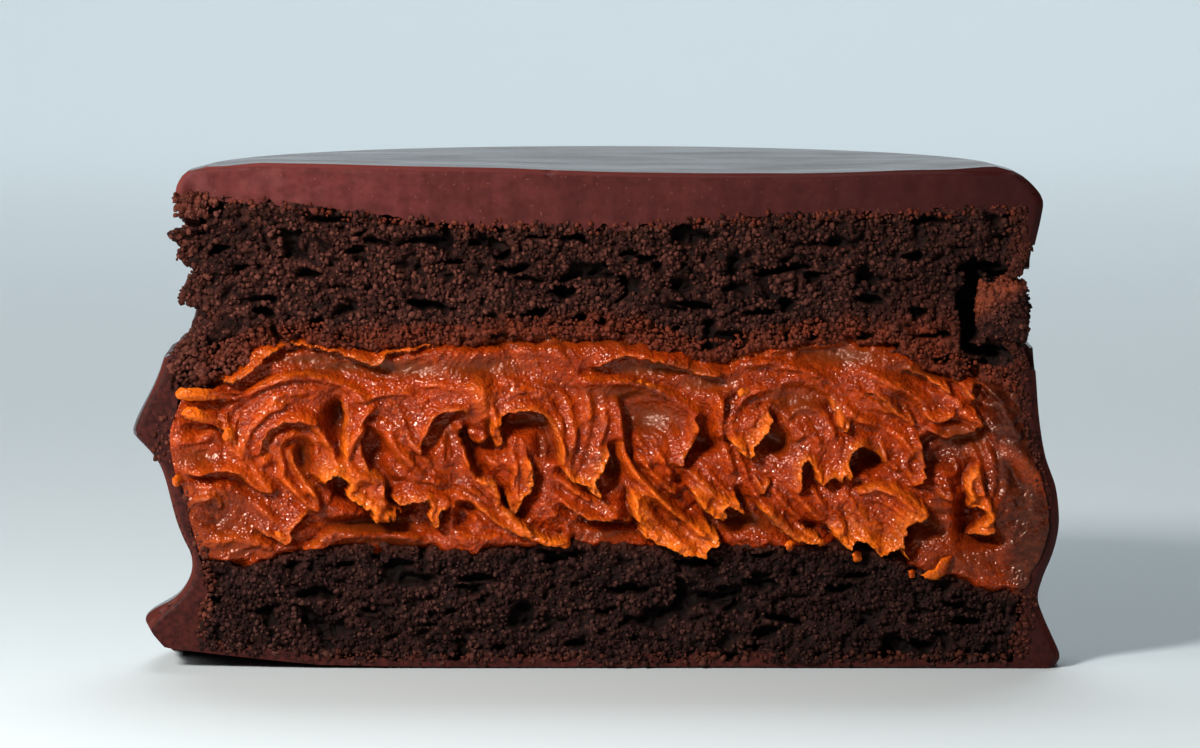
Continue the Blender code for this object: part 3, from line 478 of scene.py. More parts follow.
# Rounded folds with no torn edge: (height, half width), then points (X, Z).
FOLDS = (
    # Loops at the left
    ((0.80, 0.36), ((-23.8, 13.8), (-23.7, 15.0), (-23.6, 16.0), (-23.1, 16.8), (-22.2, 17.4), (-21.0, 17.6), (-20.0, 17.2), (-19.6, 16.3), (-19.0, 15.3), (-18.4, 14.5))),
    ((0.75, 0.28), ((-22.6, 14.2), (-22.6, 14.8), (-22.2, 15.8), (-21.6, 16.3), (-20.8, 16.3), (-20.2, 15.8), (-19.7, 15.0))),
    ((0.85, 0.26), ((-22.4, 14.8), (-22.4, 13.6), (-21.6, 12.5), (-20.2, 11.4), (-19.6, 11.4))),
    ((0.70, 0.22), ((-21.8, 14.6), (-21.2, 13.4), (-20.4, 12.3), (-19.7, 11.5))),
    ((0.65, 0.30), ((-24.9, 15.4), (-24.8, 16.6), (-24.2, 17.4), (-23.2, 18.2), (-21.8, 18.7))),
    ((0.55, 0.26), ((-24.0, 17.9), (-22.9, 19.0), (-21.4, 19.5), (-19.9, 19.4))),
    ((0.70, 0.32), ((-26.4, 17.8), (-25.9, 16.4), (-25.5, 15.4), (-24.9, 14.4), (-24.3, 13.7), (-23.2, 12.8), (-22.4, 12.5))),
    ((0.50, 0.26), ((-25.6, 16.9), (-24.9, 15.2), (-24.2, 14.1), (-23.4, 13.4))),
    ((0.65, 0.32), ((-29.2, 14.0), (-27.4, 14.1), (-25.6, 14.0), (-24.4, 13.0), (-23.2, 12.2))),
    ((-0.5, 0.28), ((-28.8, 13.4), (-27.0, 13.4), (-25.6, 13.1), (-24.2, 12.1))),
    ((0.45, 0.40), ((-28.4, 11.6), (-27.6, 12.5), (-26.6, 12.4), (-26.0, 11.4))),
    ((0.50, 0.35), ((-27.9, 9.0), (-26.0, 9.2), (-24.2, 9.0), (-22.9, 8.4))),
    ((0.40, 0.30), ((-24.6, 11.9), (-23.4, 10.9), (-22.0, 10.2))),
    # Ribs of the torn flake left of the middle
    ((0.60, 0.28), ((-17.9, 15.2), (-17.6, 16.3), (-17.0, 17.2), (-16.6, 17.9), (-15.6, 18.6))),
    ((0.75, 0.34), ((-19.2, 15.4), (-18.2, 14.6), (-17.0, 13.7), (-15.8, 13.1))),
    ((0.50, 0.22), ((-17.8, 13.2), (-16.9, 12.4), (-16.0, 11.6), (-15.4, 10.8))),
    ((0.45, 0.20), ((-16.6, 13.2), (-15.8, 12.2), (-15.0, 11.2))),
    ((0.70, 0.32), ((-15.4, 17.4), (-14.8, 16.0), (-13.6, 14.7), (-12.7, 13.4))),
    ((0.55, 0.28), ((-14.2, 17.8), (-13.7, 16.3), (-12.8, 15.2), (-11.9, 14.0))),
    ((0.50, 0.28), ((-17.6, 19.2), (-16.6, 18.9), (-15.4, 19.2), (-14.0, 19.3), (-12.6, 18.8))),
    ((0.50, 0.26), ((-13.0, 19.6), (-11.6, 19.9), (-10.2, 19.8), (-8.9, 19.9))),
    # Bowl and the fold that hangs beside it
    ((0.60, 0.30), ((-12.4, 15.4), (-12.4, 16.8), (-12.1, 17.6), (-11.4, 18.1), (-9.9, 18.5))),
    ((0.50, 0.26), ((-11.2, 14.2), (-11.2, 15.6), (-10.9, 16.6), (-10.4, 17.3))),
    ((0.95, 0.70), ((-9.2, 20.6), (-8.8, 19.3), (-8.7, 18.0), (-8.8, 16.6))),
    ((0.70, 0.24), ((-7.9, 19.0), (-7.7, 17.4), (-7.5, 15.9))),
    ((0.60, 0.24), ((-9.7, 16.2), (-9.7, 15.2), (-9.4, 14.4), (-8.6, 13.4))),
    ((0.70, 0.45), ((-8.7, 15.1), (-7.9, 14.4), (-7.3, 13.6))),
    ((0.60, 0.30), ((-12.6, 13.6), (-11.4, 12.9), (-9.2, 11.6), (-7.2, 10.2), (-5.6, 9.3))),
    ((0.55, 0.24), ((-10.0, 13.0), (-8.6, 12.2), (-7.2, 11.2), (-6.2, 10.2), (-5.0, 9.5))),
    ((0.50, 0.20), ((-8.6, 12.9), (-7.6, 12.2), (-6.8, 11.2), (-5.8, 10.4), (-4.6, 9.8))),
    ((0.45, 0.24), ((-12.0, 12.6), (-10.8, 11.7), (-9.6, 10.9), (-8.4, 10.2))),
    # Arch and what hangs inside it
    ((0.65, 0.30), ((-7.2, 16.6), (-6.8, 17.2), (-6.2, 18.2), (-5.2, 18.5), (-4.6, 18.2), (-4.0, 17.4), (-3.2, 15.6), (-3.0, 14.6))),
    ((0.50, 0.24), ((-6.9, 19.2), (-5.4, 19.5), (-4.2, 19.0), (-3.4, 17.8), (-2.9, 16.4))),
    ((0.60, 0.24), ((-6.5, 15.8), (-6.3, 14.4), (-6.3, 13.0), (-6.2, 11.6))),
    ((0.60, 0.24), ((-5.6, 15.8), (-5.5, 14.4), (-5.6, 13.0))),
    ((0.45, 0.22), ((-4.4, 16.8), (-4.2, 15.6), (-4.2, 14.4))),
    # Mass right of it, with the ribs that run down from it
    ((0.55, 0.34), ((-3.0, 19.4), (-2.6, 18.4), (-2.3, 17.0), (-2.6, 15.2), (-3.2, 13.9))),
    ((0.50, 0.34), ((-1.4, 19.6), (-1.1, 18.6), (-1.2, 17.4), (-1.5, 16.0), (-1.9, 14.6))),
    ((0.35, 0.30), ((-0.2, 19.4), (0.0, 18.0), (-0.3, 16.6), (-0.9, 15.0), (-1.3, 13.8))),
    ((0.35, 0.28), ((0.9, 18.8), (1.0, 17.2), (0.7, 15.8))),
    ((0.65, 0.26), ((-3.6, 13.6), (-2.0, 12.5), (-0.8, 11.7), (0.6, 10.9), (1.8, 10.4))),
    ((0.55, 0.24), ((-3.6, 12.4), (-2.4, 11.3), (-0.8, 10.8), (0.8, 10.4))),
    ((0.50, 0.24), ((-4.2, 11.6), (-3.4, 10.8), (-2.6, 10.2))),
    # Long ribs of the torn flake right of the middle
    ((0.95, 0.28), ((1.1, 15.6), (1.3, 14.9), (2.0, 13.8), (3.0, 12.8), (4.0, 12.0), (5.0, 11.1), (6.0, 10.3), (7.2, 9.5))),
    ((-0.6, 0.30), ((1.9, 13.2), (2.6, 12.4), (3.7, 11.2), (5.0, 10.0), (6.0, 9.4))),
    ((0.60, 0.26), ((2.0, 12.0), (2.9, 11.2), (4.0, 10.0), (5.2, 9.2), (6.2, 8.9))),
    ((0.50, 0.22), ((2.4, 10.8), (3.3, 9.9), (4.3, 9.2), (5.2, 8.8))),
    ((0.60, 0.26), ((2.4, 15.0), (3.2, 13.9), (4.1, 13.0), (5.0, 12.2))),
    ((0.60, 0.26), ((3.1, 16.0), (3.9, 14.8), (4.6, 13.6), (5.1, 12.7))),
    ((0.50, 0.24), ((2.0, 16.6), (2.6, 15.6), (3.1, 14.8))),
    ((0.70, 0.32), ((5.8, 14.2), (6.6, 13.3), (7.5, 12.4), (8.4, 11.4))),
    ((0.55, 0.24), ((6.9, 14.2), (7.7, 13.2), (8.5, 12.2), (9.1, 11.4))),
    ((0.55, 0.30), ((6.0, 18.4), (6.3, 17.4), (6.0, 16.4), (5.6, 15.4))),
    ((0.60, 0.35), ((7.6, 19.6), (8.0, 18.2), (8.0, 16.6), (8.4, 15.2), (9.0, 13.4))),
    ((0.45, 0.24), ((8.8, 18.2), (8.7, 17.0), (9.1, 15.8), (9.6, 14.2), (10.2, 12.8))),
    # Right of it
    ((0.60, 0.28), ((9.2, 16.6), (9.9, 17.2), (10.6, 18.0), (11.9, 18.6))),
    ((0.55, 0.26), ((9.2, 18.2), (10.0, 19.2), (11.4, 19.6), (12.8, 19.3))),
    ((0.55, 0.30), ((12.2, 16.6), (12.8, 17.7), (14.0, 18.3), (15.1, 17.9), (15.7, 16.8), (15.9, 15.6))),
    ((0.55, 0.28), ((12.6, 14.6), (12.9, 15.9), (13.8, 16.6), (14.6, 16.2), (14.8, 15.2))),
    ((0.60, 0.28), ((16.3, 18.9), (17.2, 17.8), (18.4, 17.2), (19.8, 16.6), (21.0, 15.6), (21.6, 14.4))),
    ((0.55, 0.28), ((16.8, 20.0), (18.2, 19.0), (19.4, 18.2), (20.6, 17.6))),
    ((0.55, 0.28), ((17.6, 21.0), (19.2, 20.3), (20.6, 19.6), (21.8, 18.8), (22.6, 18.2))),
    ((0.50, 0.24), ((12.0, 21.2), (13.6, 21.0), (15.0, 20.4), (16.2, 19.8))),
    ((0.50, 0.24), ((10.0, 21.3), (11.4, 21.5), (12.8, 21.4))),
    ((0.50, 0.28), ((12.2, 20.2), (13.6, 20.2), (14.8, 19.7), (15.6, 19.0))),
    ((0.60, 0.24), ((19.2, 15.9), (19.3, 14.8), (20.0, 14.1), (20.9, 13.6))),
    ((0.55, 0.24), ((10.0, 13.2), (10.6, 12.1), (11.5, 11.1), (12.8, 10.0), (14.2, 9.3))),
    ((0.55, 0.24), ((11.4, 13.0), (12.1, 12.0), (13.0, 11.0), (14.0, 10.2))),
    ((0.55, 0.24), ((12.6, 13.6), (13.2, 12.4), (14.1, 11.2), (15.2, 10.2), (16.0, 9.6))),
    ((0.50, 0.24), ((14.2, 13.2), (14.8, 12.0), (15.6, 11.0), (16.6, 10.0))),
    ((0.60, 0.26), ((16.6, 12.6), (17.4, 11.2), (18.3, 10.3), (19.6, 9.6))),
    ((0.60, 0.26), ((17.2, 13.4), (18.4, 13.3), (19.6, 12.7), (20.9, 11.8), (21.9, 11.2))),
    ((0.50, 0.22), ((18.0, 12.2), (19.0, 12.0), (20.2, 11.3), (21.0, 10.6))),
    ((0.50, 0.22), ((17.2, 10.2), (18.0, 9.6), (18.8, 9.2))),
    ((0.50, 0.22), ((19.2, 10.8), (20.0, 10.0), (20.4, 9.2))),
    ((0.55, 0.26), ((22.0, 18.2), (22.9, 17.6), (23.8, 18.0), (24.8, 18.6))),
    ((0.50, 0.26), ((22.6, 19.4), (23.8, 19.0), (24.9, 18.2), (25.6, 17.2))),
    ((0.50, 0.26), ((23.2, 12.9), (23.8, 12.3), (24.1, 11.6))),
    ((0.50, 0.26), ((25.6, 13.8), (25.9, 12.8), (26.4, 11.6), (26.8, 10.4))),
    ((0.40, 0.45), ((27.0, 19.2), (27.8, 17.4), (28.4, 15.8), (29.2, 14.2), (30.2, 12.6))),
    ((-0.3, 0.35), ((26.4, 18.6), (27.2, 16.6), (27.8, 14.9), (28.6, 13.2), (29.4, 11.4))),
    ((0.35, 0.30), ((30.4, 9.8), (30.3, 8.0), (29.6, 6.6), (28.4, 5.8))),
    ((0.35, 0.40), ((22.6, 9.2), (23.8, 8.0), (25.4, 7.2), (27.2, 6.8))),
)

# Hollows: X, Z, half width, half height, depth. Their depth is also painted as shade.
HOLLOWS = (
    (-18.6, 17.5, 0.6, 1.2, 1.5), (-18.7, 12.7, 0.7, 0.7, 1.2), (-15.9, 15.3, 0.55, 1.0, 1.2), (-20.9, 14.6, 0.7, 1.1, 0.9),
    (-13.7, 11.0, 0.9, 0.6, 1.3), (-9.5, 10.6, 0.5, 0.9, 1.0), (-5.9, 16.9, 0.9, 0.5, 1.3), (-10.8, 16.6, 0.7, 0.7, 0.5),
    (-4.4, 15.8, 0.4, 1.1, 0.7), (-7.0, 11.8, 0.3, 0.6, 1.1), (0.6, 13.8, 0.6, 1.2, 1.3), (-9.1, 15.0, 0.3, 0.8, 1.2),
    (7.1, 15.6, 0.7, 0.55, 1.6), (5.1, 13.2, 0.6, 0.5, 1.2), (11.8, 15.9, 1.0, 0.8, 1.3), (2.8, 17.4, 1.5, 1.2, 0.7),
    (14.0, 13.6, 0.3, 0.7, 1.0), (18.3, 14.5, 1.1, 0.7, 1.7), (23.5, 14.6, 1.2, 0.9, 1.5), (14.2, 9.9, 0.8, 0.3, 1.0),
    (25.2, 10.4, 0.7, 1.2, 2.4), (26.5, 9.0, 0.9, 0.4, 2.0), (22.6, 10.0, 1.2, 1.0, 0.8), (-15.4, 16.0, 0.4, 1.2, 0.5),
    (9.0, 10.5, 0.8, 0.5, 1.2), (-0.2, 10.1, 1.9, 0.3, 1.3), (-28.5, 16.8, 0.8, 0.35, 1.4), (12.4, 15.4, 0.5, 0.5, 0.6),
    (-16.6, 10.2, 3.0, 0.35, 1.2), (-29.3, 12.6, 0.4, 0.5, 0.6), (8.6, 22.3, 0.9, 0.5, 1.6), (21.4, 14.4, 0.4, 1.0, 0.6),
)

# Smooth browner places: X, Z, half width, half height, strength.
BROWN_BANDS = (
    (-20.2, 21.5, 3.0, 0.50, 1.0), (-14.0, 20.9, 3.6, 0.70, 1.0), (-8.6, 21.0, 3.5, 0.8, 0.8), (-18.0, 21.0, 3.0, 0.5, 1.0),
    (3.4, 20.9, 3.4, 0.55, 1.1), (7.0, 19.9, 2.4, 0.7, 0.9), (3.4, 17.4, 2.0, 1.2, 0.9), (1.4, 19.2, 3.0, 0.7, 0.8),
    (13.3, 18.6, 2.4, 1.0, 0.8), (-25.3, 8.3, 3.2, 0.7, 0.6), (-20.9, 14.9, 0.7, 1.3, 0.8), (12.0, 15.8, 1.4, 1.0, 0.8),
    (0.2, 9.3, 3.2, 0.5, 0.7), (-15.5, 8.9, 4.5, 0.5, 0.7), (25.0, 7.4, 3.2, 1.2, 0.9), (-18.6, 17.6, 0.7, 1.4, 0.7),
    (29.6, 9.5, 2.6, 5.2, 1.0), (16.5, 21.8, 3.5, 0.8, 1.0), (22.0, 20.8, 3.0, 0.6, 0.8), (-5.4, 17.2, 1.6, 0.6, 0.8),
    (-2.0, 22.9, 20.0, 0.6, 0.7), (-28.2, 14.9, 1.5, 0.8, 0.7), (10.0, 10.2, 2.6, 0.8, 0.9), (25.0, 15.9, 2.6, 1.2, 0.95),
    (28.6, 17.2, 1.9, 3.4, 1.0), (-26.9, 11.0, 3.0, 1.5, 0.45), (22.2, 9.6, 2.2, 1.3, 0.85), (-16.0, 9.9, 4.0, 0.6, 0.9),
    (-11.0, 16.6, 1.1, 0.9, 0.5), (18.2, 15.0, 1.6, 0.8, 0.6), (-4.2, 15.6, 0.6, 1.4, 0.6), (20.0, 18.6, 2.2, 0.9, 0.45),
    (0.6, 13.6, 0.8, 1.4, 0.6), (28.4, 13.4, 1.6, 2.4, 0.9), (23.4, 11.0, 0.9, 1.6, 0.6), (-26.6, 15.9, 1.0, 0.8, 0.4),
)

# Middles of the spatula's turns, with the reach of each: fine ridges run round them.
TURNS = (
    (-27.0, 11.5, 3.5), (-21.0, 14.5, 4.5), (-15.8, 15.0, 3.5), (-11.0, 15.5, 4.0), (-5.8, 15.0, 4.0),
    (-0.5, 16.0, 3.0), (3.0, 15.5, 4.0), (9.5, 16.0, 3.5), (13.2, 16.5, 4.0), (18.5, 15.0, 4.0),
    (19.0, 10.8, 3.5), (24.0, 14.0, 4.0), (-15.0, 25.5, 5.0), (2.0, 25.0, 5.0), (-7.0, 13.0, 3.0),
    (12.0, 24.0, 3.5), (1.0, 8.0, 3.0), (28.5, 8.5, 3.5),
)


def lip_effect(x, z, form, line):
    """What one lip adds: (height, how much each point lies on its lip, painted as glow, how deep in its hollow, painted
    as shade).
    """
    lift, rise, depth, reach, ragged = form
    stops = dense(line, per_span=max(6, round(120 / len(line))))
    steps = np.diff(stops, axis=0)
    along = np.concatenate([[0.0], np.cumsum(np.hypot(*steps.T))])
    heading = np.vstack([steps, steps[-1:]])
    heading /= np.linalg.norm(heading, axis=1, keepdims=True) + 1e-9
    gap_x, gap_z = x[:, None] - stops[:, 0], z[:, None] - stops[:, 1]
    nearest = np.argmin(gap_x**2 + gap_z**2, axis=1)
    rows = np.arange(len(x))
    off_x, off_z = gap_x[rows, nearest], gap_z[rows, nearest]
    distance = np.hypot(off_x, off_z)
    side = heading[nearest, 1] * off_x - heading[nearest, 0] * off_z
    place = along[nearest]
    tatter = np.stack([place, 0.0 * place, 0.0 * place], axis=-1) + line[0][0]
    signed = np.where(side > 0, distance, -distance) - ragged * 2.0 * clouds(tatter, 0.32, 41)
    taper = smooth(place, 0.0, 0.7) * smooth(along[-1] - place, 0.0, 0.7)
    sharp = 0.10 + 0.30 * smooth(lift, 1.05, 0.45)
    over = smooth(signed, -sharp, sharp)
    body = np.abs(np.minimum(signed, 0.0))
    hollow = np.maximum(signed, 0.0) / reach
    crest = lift * (0.15 * np.exp(-4.0 * body) + 0.85 * np.exp(-1.4 * body / rise)) * smooth(body, 2.4 * rise, 0.0)
    sink = 0.85 * depth * np.exp(-1.1 * hollow) * smooth(hollow, 1.8, 0.0)
    height = taper * ((1.0 - over) * crest - over * sink)
    # Width of the band behind the lip that the material paints with a glow of light.
    glow = 0.16 + 0.5 * max(lift - 0.7, 0.0)
    return height, taper * (1.0 - over) * min(lift, 1.3) * np.exp(-body / glow), taper * over * sink


def fold_effect(x, z, form, line):
    """What one rounded fold adds. Below zero it is a groove."""
    high, half_wide = form
    stops = dense(line, per_span=12)
    steps = np.diff(stops, axis=0)
    along = np.concatenate([[0.0], np.cumsum(np.hypot(*steps.T))])
    gap = np.hypot(x[:, None] - stops[:, 0], z[:, None] - stops[:, 1])
    nearest = np.argmin(gap, axis=1)
    distance = gap[np.arange(len(x)), nearest]
    taper = smooth(along[nearest], -0.3, 1.2) * smooth(along[-1] - along[nearest], -0.3, 1.2)
    uneven = 0.85 + 0.55 * clouds(np.stack([x, 0.0 * x, z], axis=-1), 1.3, 87)
    return high * uneven * taper * np.exp(-((distance / half_wide) ** 2))


def caramel_relief(x, z):
    """Height of the torn caramel in front of the cut plane, with its lip, hollow, brown and crest shares (lip and high
    crest painted as glow, hollow and low crest as shade).
    """
    height, lip, hollow, folded = (np.zeros(x.shape) for _ in range(4))
    for form, line in LIPS:
        spread = max(2.4 * form[1], 1.8 * form[3]) + 0.5
        xs, zs = [p[0] for p in line], [p[1] for p in line]
        near = (x > min(xs) - spread) & (x < max(xs) + spread) & (z > min(zs) - spread) & (z < max(zs) + spread)
        found = lip_effect(x[near], z[near], form, line)
        for total, part in zip((height, lip, hollow), found):
            total[near] += part
    for form, line in FOLDS:
        folded += fold_effect(x, z, form, line)
    folded = 1.1 * np.tanh(folded / 1.1)
    height += folded
    for at_x, at_z, half_wide, half_high, depth in HOLLOWS:
        pit = 0.8 * depth * np.exp(-(((x - at_x) / half_wide) ** 2) - ((z - at_z) / half_high) ** 2)
        height -= pit
        hollow += pit
    height = 2.6 * np.tanh(height / 2.6)

    flat = np.stack([x, 0.0 * x, z], axis=-1)
    weights, ridges = np.zeros(x.shape), np.zeros(x.shape)
    for turn, (at_x, at_z, reach) in enumerate(TURNS):
        away = np.hypot(x - at_x, z - at_z)
        bend = 0.25 * clouds(flat, 1.6, 60 + turn)
        rings = np.stack([away + bend, np.full(x.shape, turn * 7.3), 0.0 * x], axis=-1)
        weight = np.exp(-((away / reach) ** 2)) + 1e-6
        billow = 3.0 * np.abs(clouds(rings, 1.0, 73)) - 0.9
        ridges += weight * (billow + clouds(rings, 0.42, 71) + 0.6 * clouds(rings, 0.2, 72))
        weights += weight
    ridges /= weights
    brown = brown_bands(x, z)
    swell = 0.4 * clouds(flat, 3.2, 81) + 0.12 * clouds(flat, 1.3, 82)
    grit = 0.05 * clouds(flat, 0.5, 83) + 0.035 * clouds(flat, 0.26, 84)
    height += swell - 0.35 * brown + (0.13 * ridges + grit) * (1.0 - 0.55 * np.clip(brown, 0.0, 1.0))
    crest = np.clip(1.1 * folded + 0.16 * ridges, -1.0, 1.0)
    return height, np.clip(lip, 0.0, 1.5), np.clip(hollow, 0.0, 3.0), brown, crest


def brown_bands(x, z):
    """The smooth browner caramel under the ledges, in the trough, in the cap and in the lowest blob."""
    share = np.zeros(x.shape)
    for at_x, at_z, wide, tall, weight in BROWN_BANDS:
        share = np.maximum(share, weight * np.exp(-(((x - at_x) / wide) ** 2) - ((z - at_z) / tall) ** 2))
    return share


# ---------------------------------------------------------------------------------------------------
# Materials
# ---------------------------------------------------------------------------------------------------


class Shading:
    """One Principled material and short ways to add the nodes that feed it."""

    def __init__(self, name, **values):
        self.material = bpy.data.materials.new(name)
        self.material.use_nodes = True
        self.tree = self.material.node_tree
        self.shader = self.tree.nodes["Principled BSDF"]
        for key, value in values.items():
            self.shader.inputs[key.replace("_", " ")].default_value = value

    def node(self, kind, inputs, **settings):
        made = self.tree.nodes.new(kind)
        for key, value in settings.items():
            setattr(made, key, value)
        for place, value in inputs.items():
            self.feed(made.inputs[place], value)
        return made

    def feed(self, socket, value):
        if isinstance(value, bpy.types.NodeSocket):
            self.tree.links.new(value, socket)
        elif isinstance(value, tuple) and len(value) == 3 and socket.type == "RGBA":
            socket.default_value = (*value, 1.0)
        else:
            socket.default_value = value

    def set(self, name, value):
        self.feed(self.shader.inputs[name], value)

    def stored(self, name):
        return self.node("ShaderNodeAttribute", {}, attribute_name=name).outputs["Fac"]

    def place(self, stretch=(1.0, 1.0, 1.0)):
        """Where the point is, in millimetres, squeezed along each axis by stretch."""
        spot = self.node("ShaderNodeTexCoord", {}).outputs["Object"]
        scale = tuple(1000.0 / s for s in stretch)
        return self.node("ShaderNodeMapping", {"Vector": spot, "Scale": scale}).outputs["Vector"]

    def noise(self, size, detail=3.0, stretch=(1.0, 1.0, 1.0), roughness=0.5, distortion=0.0):
        inputs = {"Vector": self.place(stretch), "Scale": 1.0 / size, "Detail": detail}
        inputs |= {"Roughness": roughness, "Distortion": distortion}
        return self.node("ShaderNodeTexNoise", inputs).outputs["Fac"]

    def cells(self, size, stretch=(1.0, 1.0, 1.0)):
        inputs = {"Vector": self.place(stretch), "Scale": 1.0 / size}
        return self.node("ShaderNodeTexVoronoi", inputs).outputs["Distance"]

    def span(self, value, low, high, out_low=0.0, out_high=1.0):
        inputs = {"Value": value, "From Min": low, "From Max": high, "To Min": out_low, "To Max": out_high}
        return self.node("ShaderNodeMapRange", inputs).outputs["Result"]

    def sum(self, first, second, operation="ADD"):
        return self.node("ShaderNodeMath", {0: first, 1: second}, operation=operation).outputs["Value"]

    def mix(self, share, first, second):
        made = self.node("ShaderNodeMix", {}, data_type="RGBA")
        for socket, value in ((made.inputs[0], share), (made.inputs[6], first), (made.inputs[7], second)):
            self.feed(socket, value)
        return made.outputs[2]

    def bump(self, height, depth, strength=1.0, under=None):
        """Fine relief on top of the mesh, depth in millimetres."""
        inputs = {"Height": height, "Distance": depth * MM, "Strength": strength}
        if under is not None:
            inputs["Normal"] = under
        return self.node("ShaderNodeBump", inputs).outputs["Normal"]


def crumb_material(name, deep, plain, light, soaked, painted_shade_right=0.55):
    """Dark cookie crumb: matt grains that differ in tone, painted shade in the gaps and to the right, redder where
    caramel seeped in.
    """
    made = Shading(name, Roughness=0.72, Specular_IOR_Level=0.1)
    tone = made.sum(made.stored("tone"), made.span(made.noise(0.35), 0.3, 0.7, -0.25, 0.25))
    colour = made.mix(made.span(tone, 0.1, 0.55), deep, plain)
    colour = made.mix(made.span(tone, 0.6, 1.05), colour, light)
    soak = made.sum(made.stored("soak"), made.span(made.noise(0.8), 0.3, 0.7, 0.5, 1.2), "MULTIPLY")
    across = made.node("ShaderNodeSeparateXYZ", {"Vector": made.place()}).outputs["X"]
    # Painted shade: the crumb is painted darker towards the right, where less light falls.
    colour = made.mix(made.span(across, -10.0, 28.0, 0.0, painted_shade_right), colour, (0.006, 0.0020, 0.0015))
    # The red colour marks caramel that seeped in; on the loose block it is painted light on the face turned to the
    # light.
    colour = made.mix(soak, colour, soaked)
    # Painted shade: near black in the gaps, pores and joints between grains.
    colour = made.mix(made.span(made.stored("pore"), 0.05, 0.9, 0.0, 0.92), colour, (0.003, 0.0012, 0.0009))
    made.set("Base Color", colour)
    made.set("Roughness", made.span(soak, 0.0, 1.0, 0.74, 0.42))
    rough = made.bump(made.noise(0.22, 4.0, roughness=0.65), 0.09)
    made.set("Normal", made.bump(made.noise(0.07, 2.0), 0.025, 0.8, rough))
    return made.material


def caramel_material():
    """Soft, translucent milk caramel: painted glow on thin torn lips, painted shade deep red in the folds, brown where
    it lies smooth.
    """
    made = Shading(
        "caramel", Subsurface_Weight=0.3, Subsurface_Radius=(1.0, 0.25, 0.06), Subsurface_Scale=0.0008,
        IOR=1.46, Specular_IOR_Level=0.46, Specular_Tint=(1.0, 0.66, 0.54, 1.0),
    )
    brown, painted_dusk_shade = made.stored("brown"), made.stored("painted_dusk_shade")
    smear = made.span(made.noise(2.6, 3.0, (1.0, 1.0, 0.6), distortion=0.8), 0.35, 0.7)
    colour = made.mix(smear, (0.31, 0.028, 0.0020), (0.165, 0.0150, 0.0015))
    fleck = made.span(made.noise(0.45, 3.0), 0.48, 0.7)
    colour = made.mix(fleck, colour, (0.41, 0.045, 0.0028))
    # Painted light and shade: crests are painted lighter orange, as a glow through thin caramel, and creases deep red,
    # as shade.
    crest = made.sum(made.stored("crest"), made.span(made.noise(0.4), 0.3, 0.7, -0.25, 0.25))
    colour = made.mix(made.span(crest, 0.2, 1.0, 0.0, 0.85), colour, (0.63, 0.088, 0.0042))
    colour = made.mix(made.span(crest, 0.0, -0.6, 0.0, 0.6), colour, (0.15, 0.013, 0.0014))
    # Painted glow: thin torn lips are painted bright orange, as light shining through the thin caramel.
    lip = made.sum(made.stored("lip"), made.span(made.noise(0.5), 0.3, 0.7, 0.45, 1.25), "MULTIPLY")
    colour = made.mix(made.span(lip, 0.1, 0.9), colour, (0.86, 0.160, 0.0070))
    # Painted shade: deep red in the hollows.
    colour = made.mix(made.span(made.stored("hollow"), 0.2, 1.8), colour, (0.17, 0.015, 0.0018))
    colour = made.mix(made.span(brown, 0.1, 0.95), colour, (0.135, 0.022, 0.0030))
    # Painted shade: darker brown towards the right end and in the shade patches.
    colour = made.mix(painted_dusk_shade, colour, made.mix(fleck, (0.045, 0.0068, 0.0024), (0.105, 0.0165, 0.0045)))
    made.set("Base Color", colour)
    smooth_part = made.span(brown, 0.15, 0.8)
    fine = made.span(made.noise(0.5), 0.3, 0.7, 0.10, 0.18)
    duller = made.sum(made.span(smooth_part, 0.0, 1.0, 0.0, 0.20), made.sum(painted_dusk_shade, 0.14, "MULTIPLY"))
    made.set("Roughness", made.sum(fine, duller))
    calm = made.span(made.sum(smooth_part, painted_dusk_shade, "MAXIMUM"), 0.0, 1.0, 1.0, 0.35)
    apart = made.cells(0.25)
    bead = made.sum(made.span(made.sum(apart, apart, "MULTIPLY"), 0.0, 0.45, 1.0, 0.0), calm, "MULTIPLY")
    swelling = made.bump(made.sum(made.noise(0.5, 2.0), calm, "MULTIPLY"), 0.13)
    made.set("Normal", made.bump(bead, 0.048, 1.0, swelling))
    return made.material


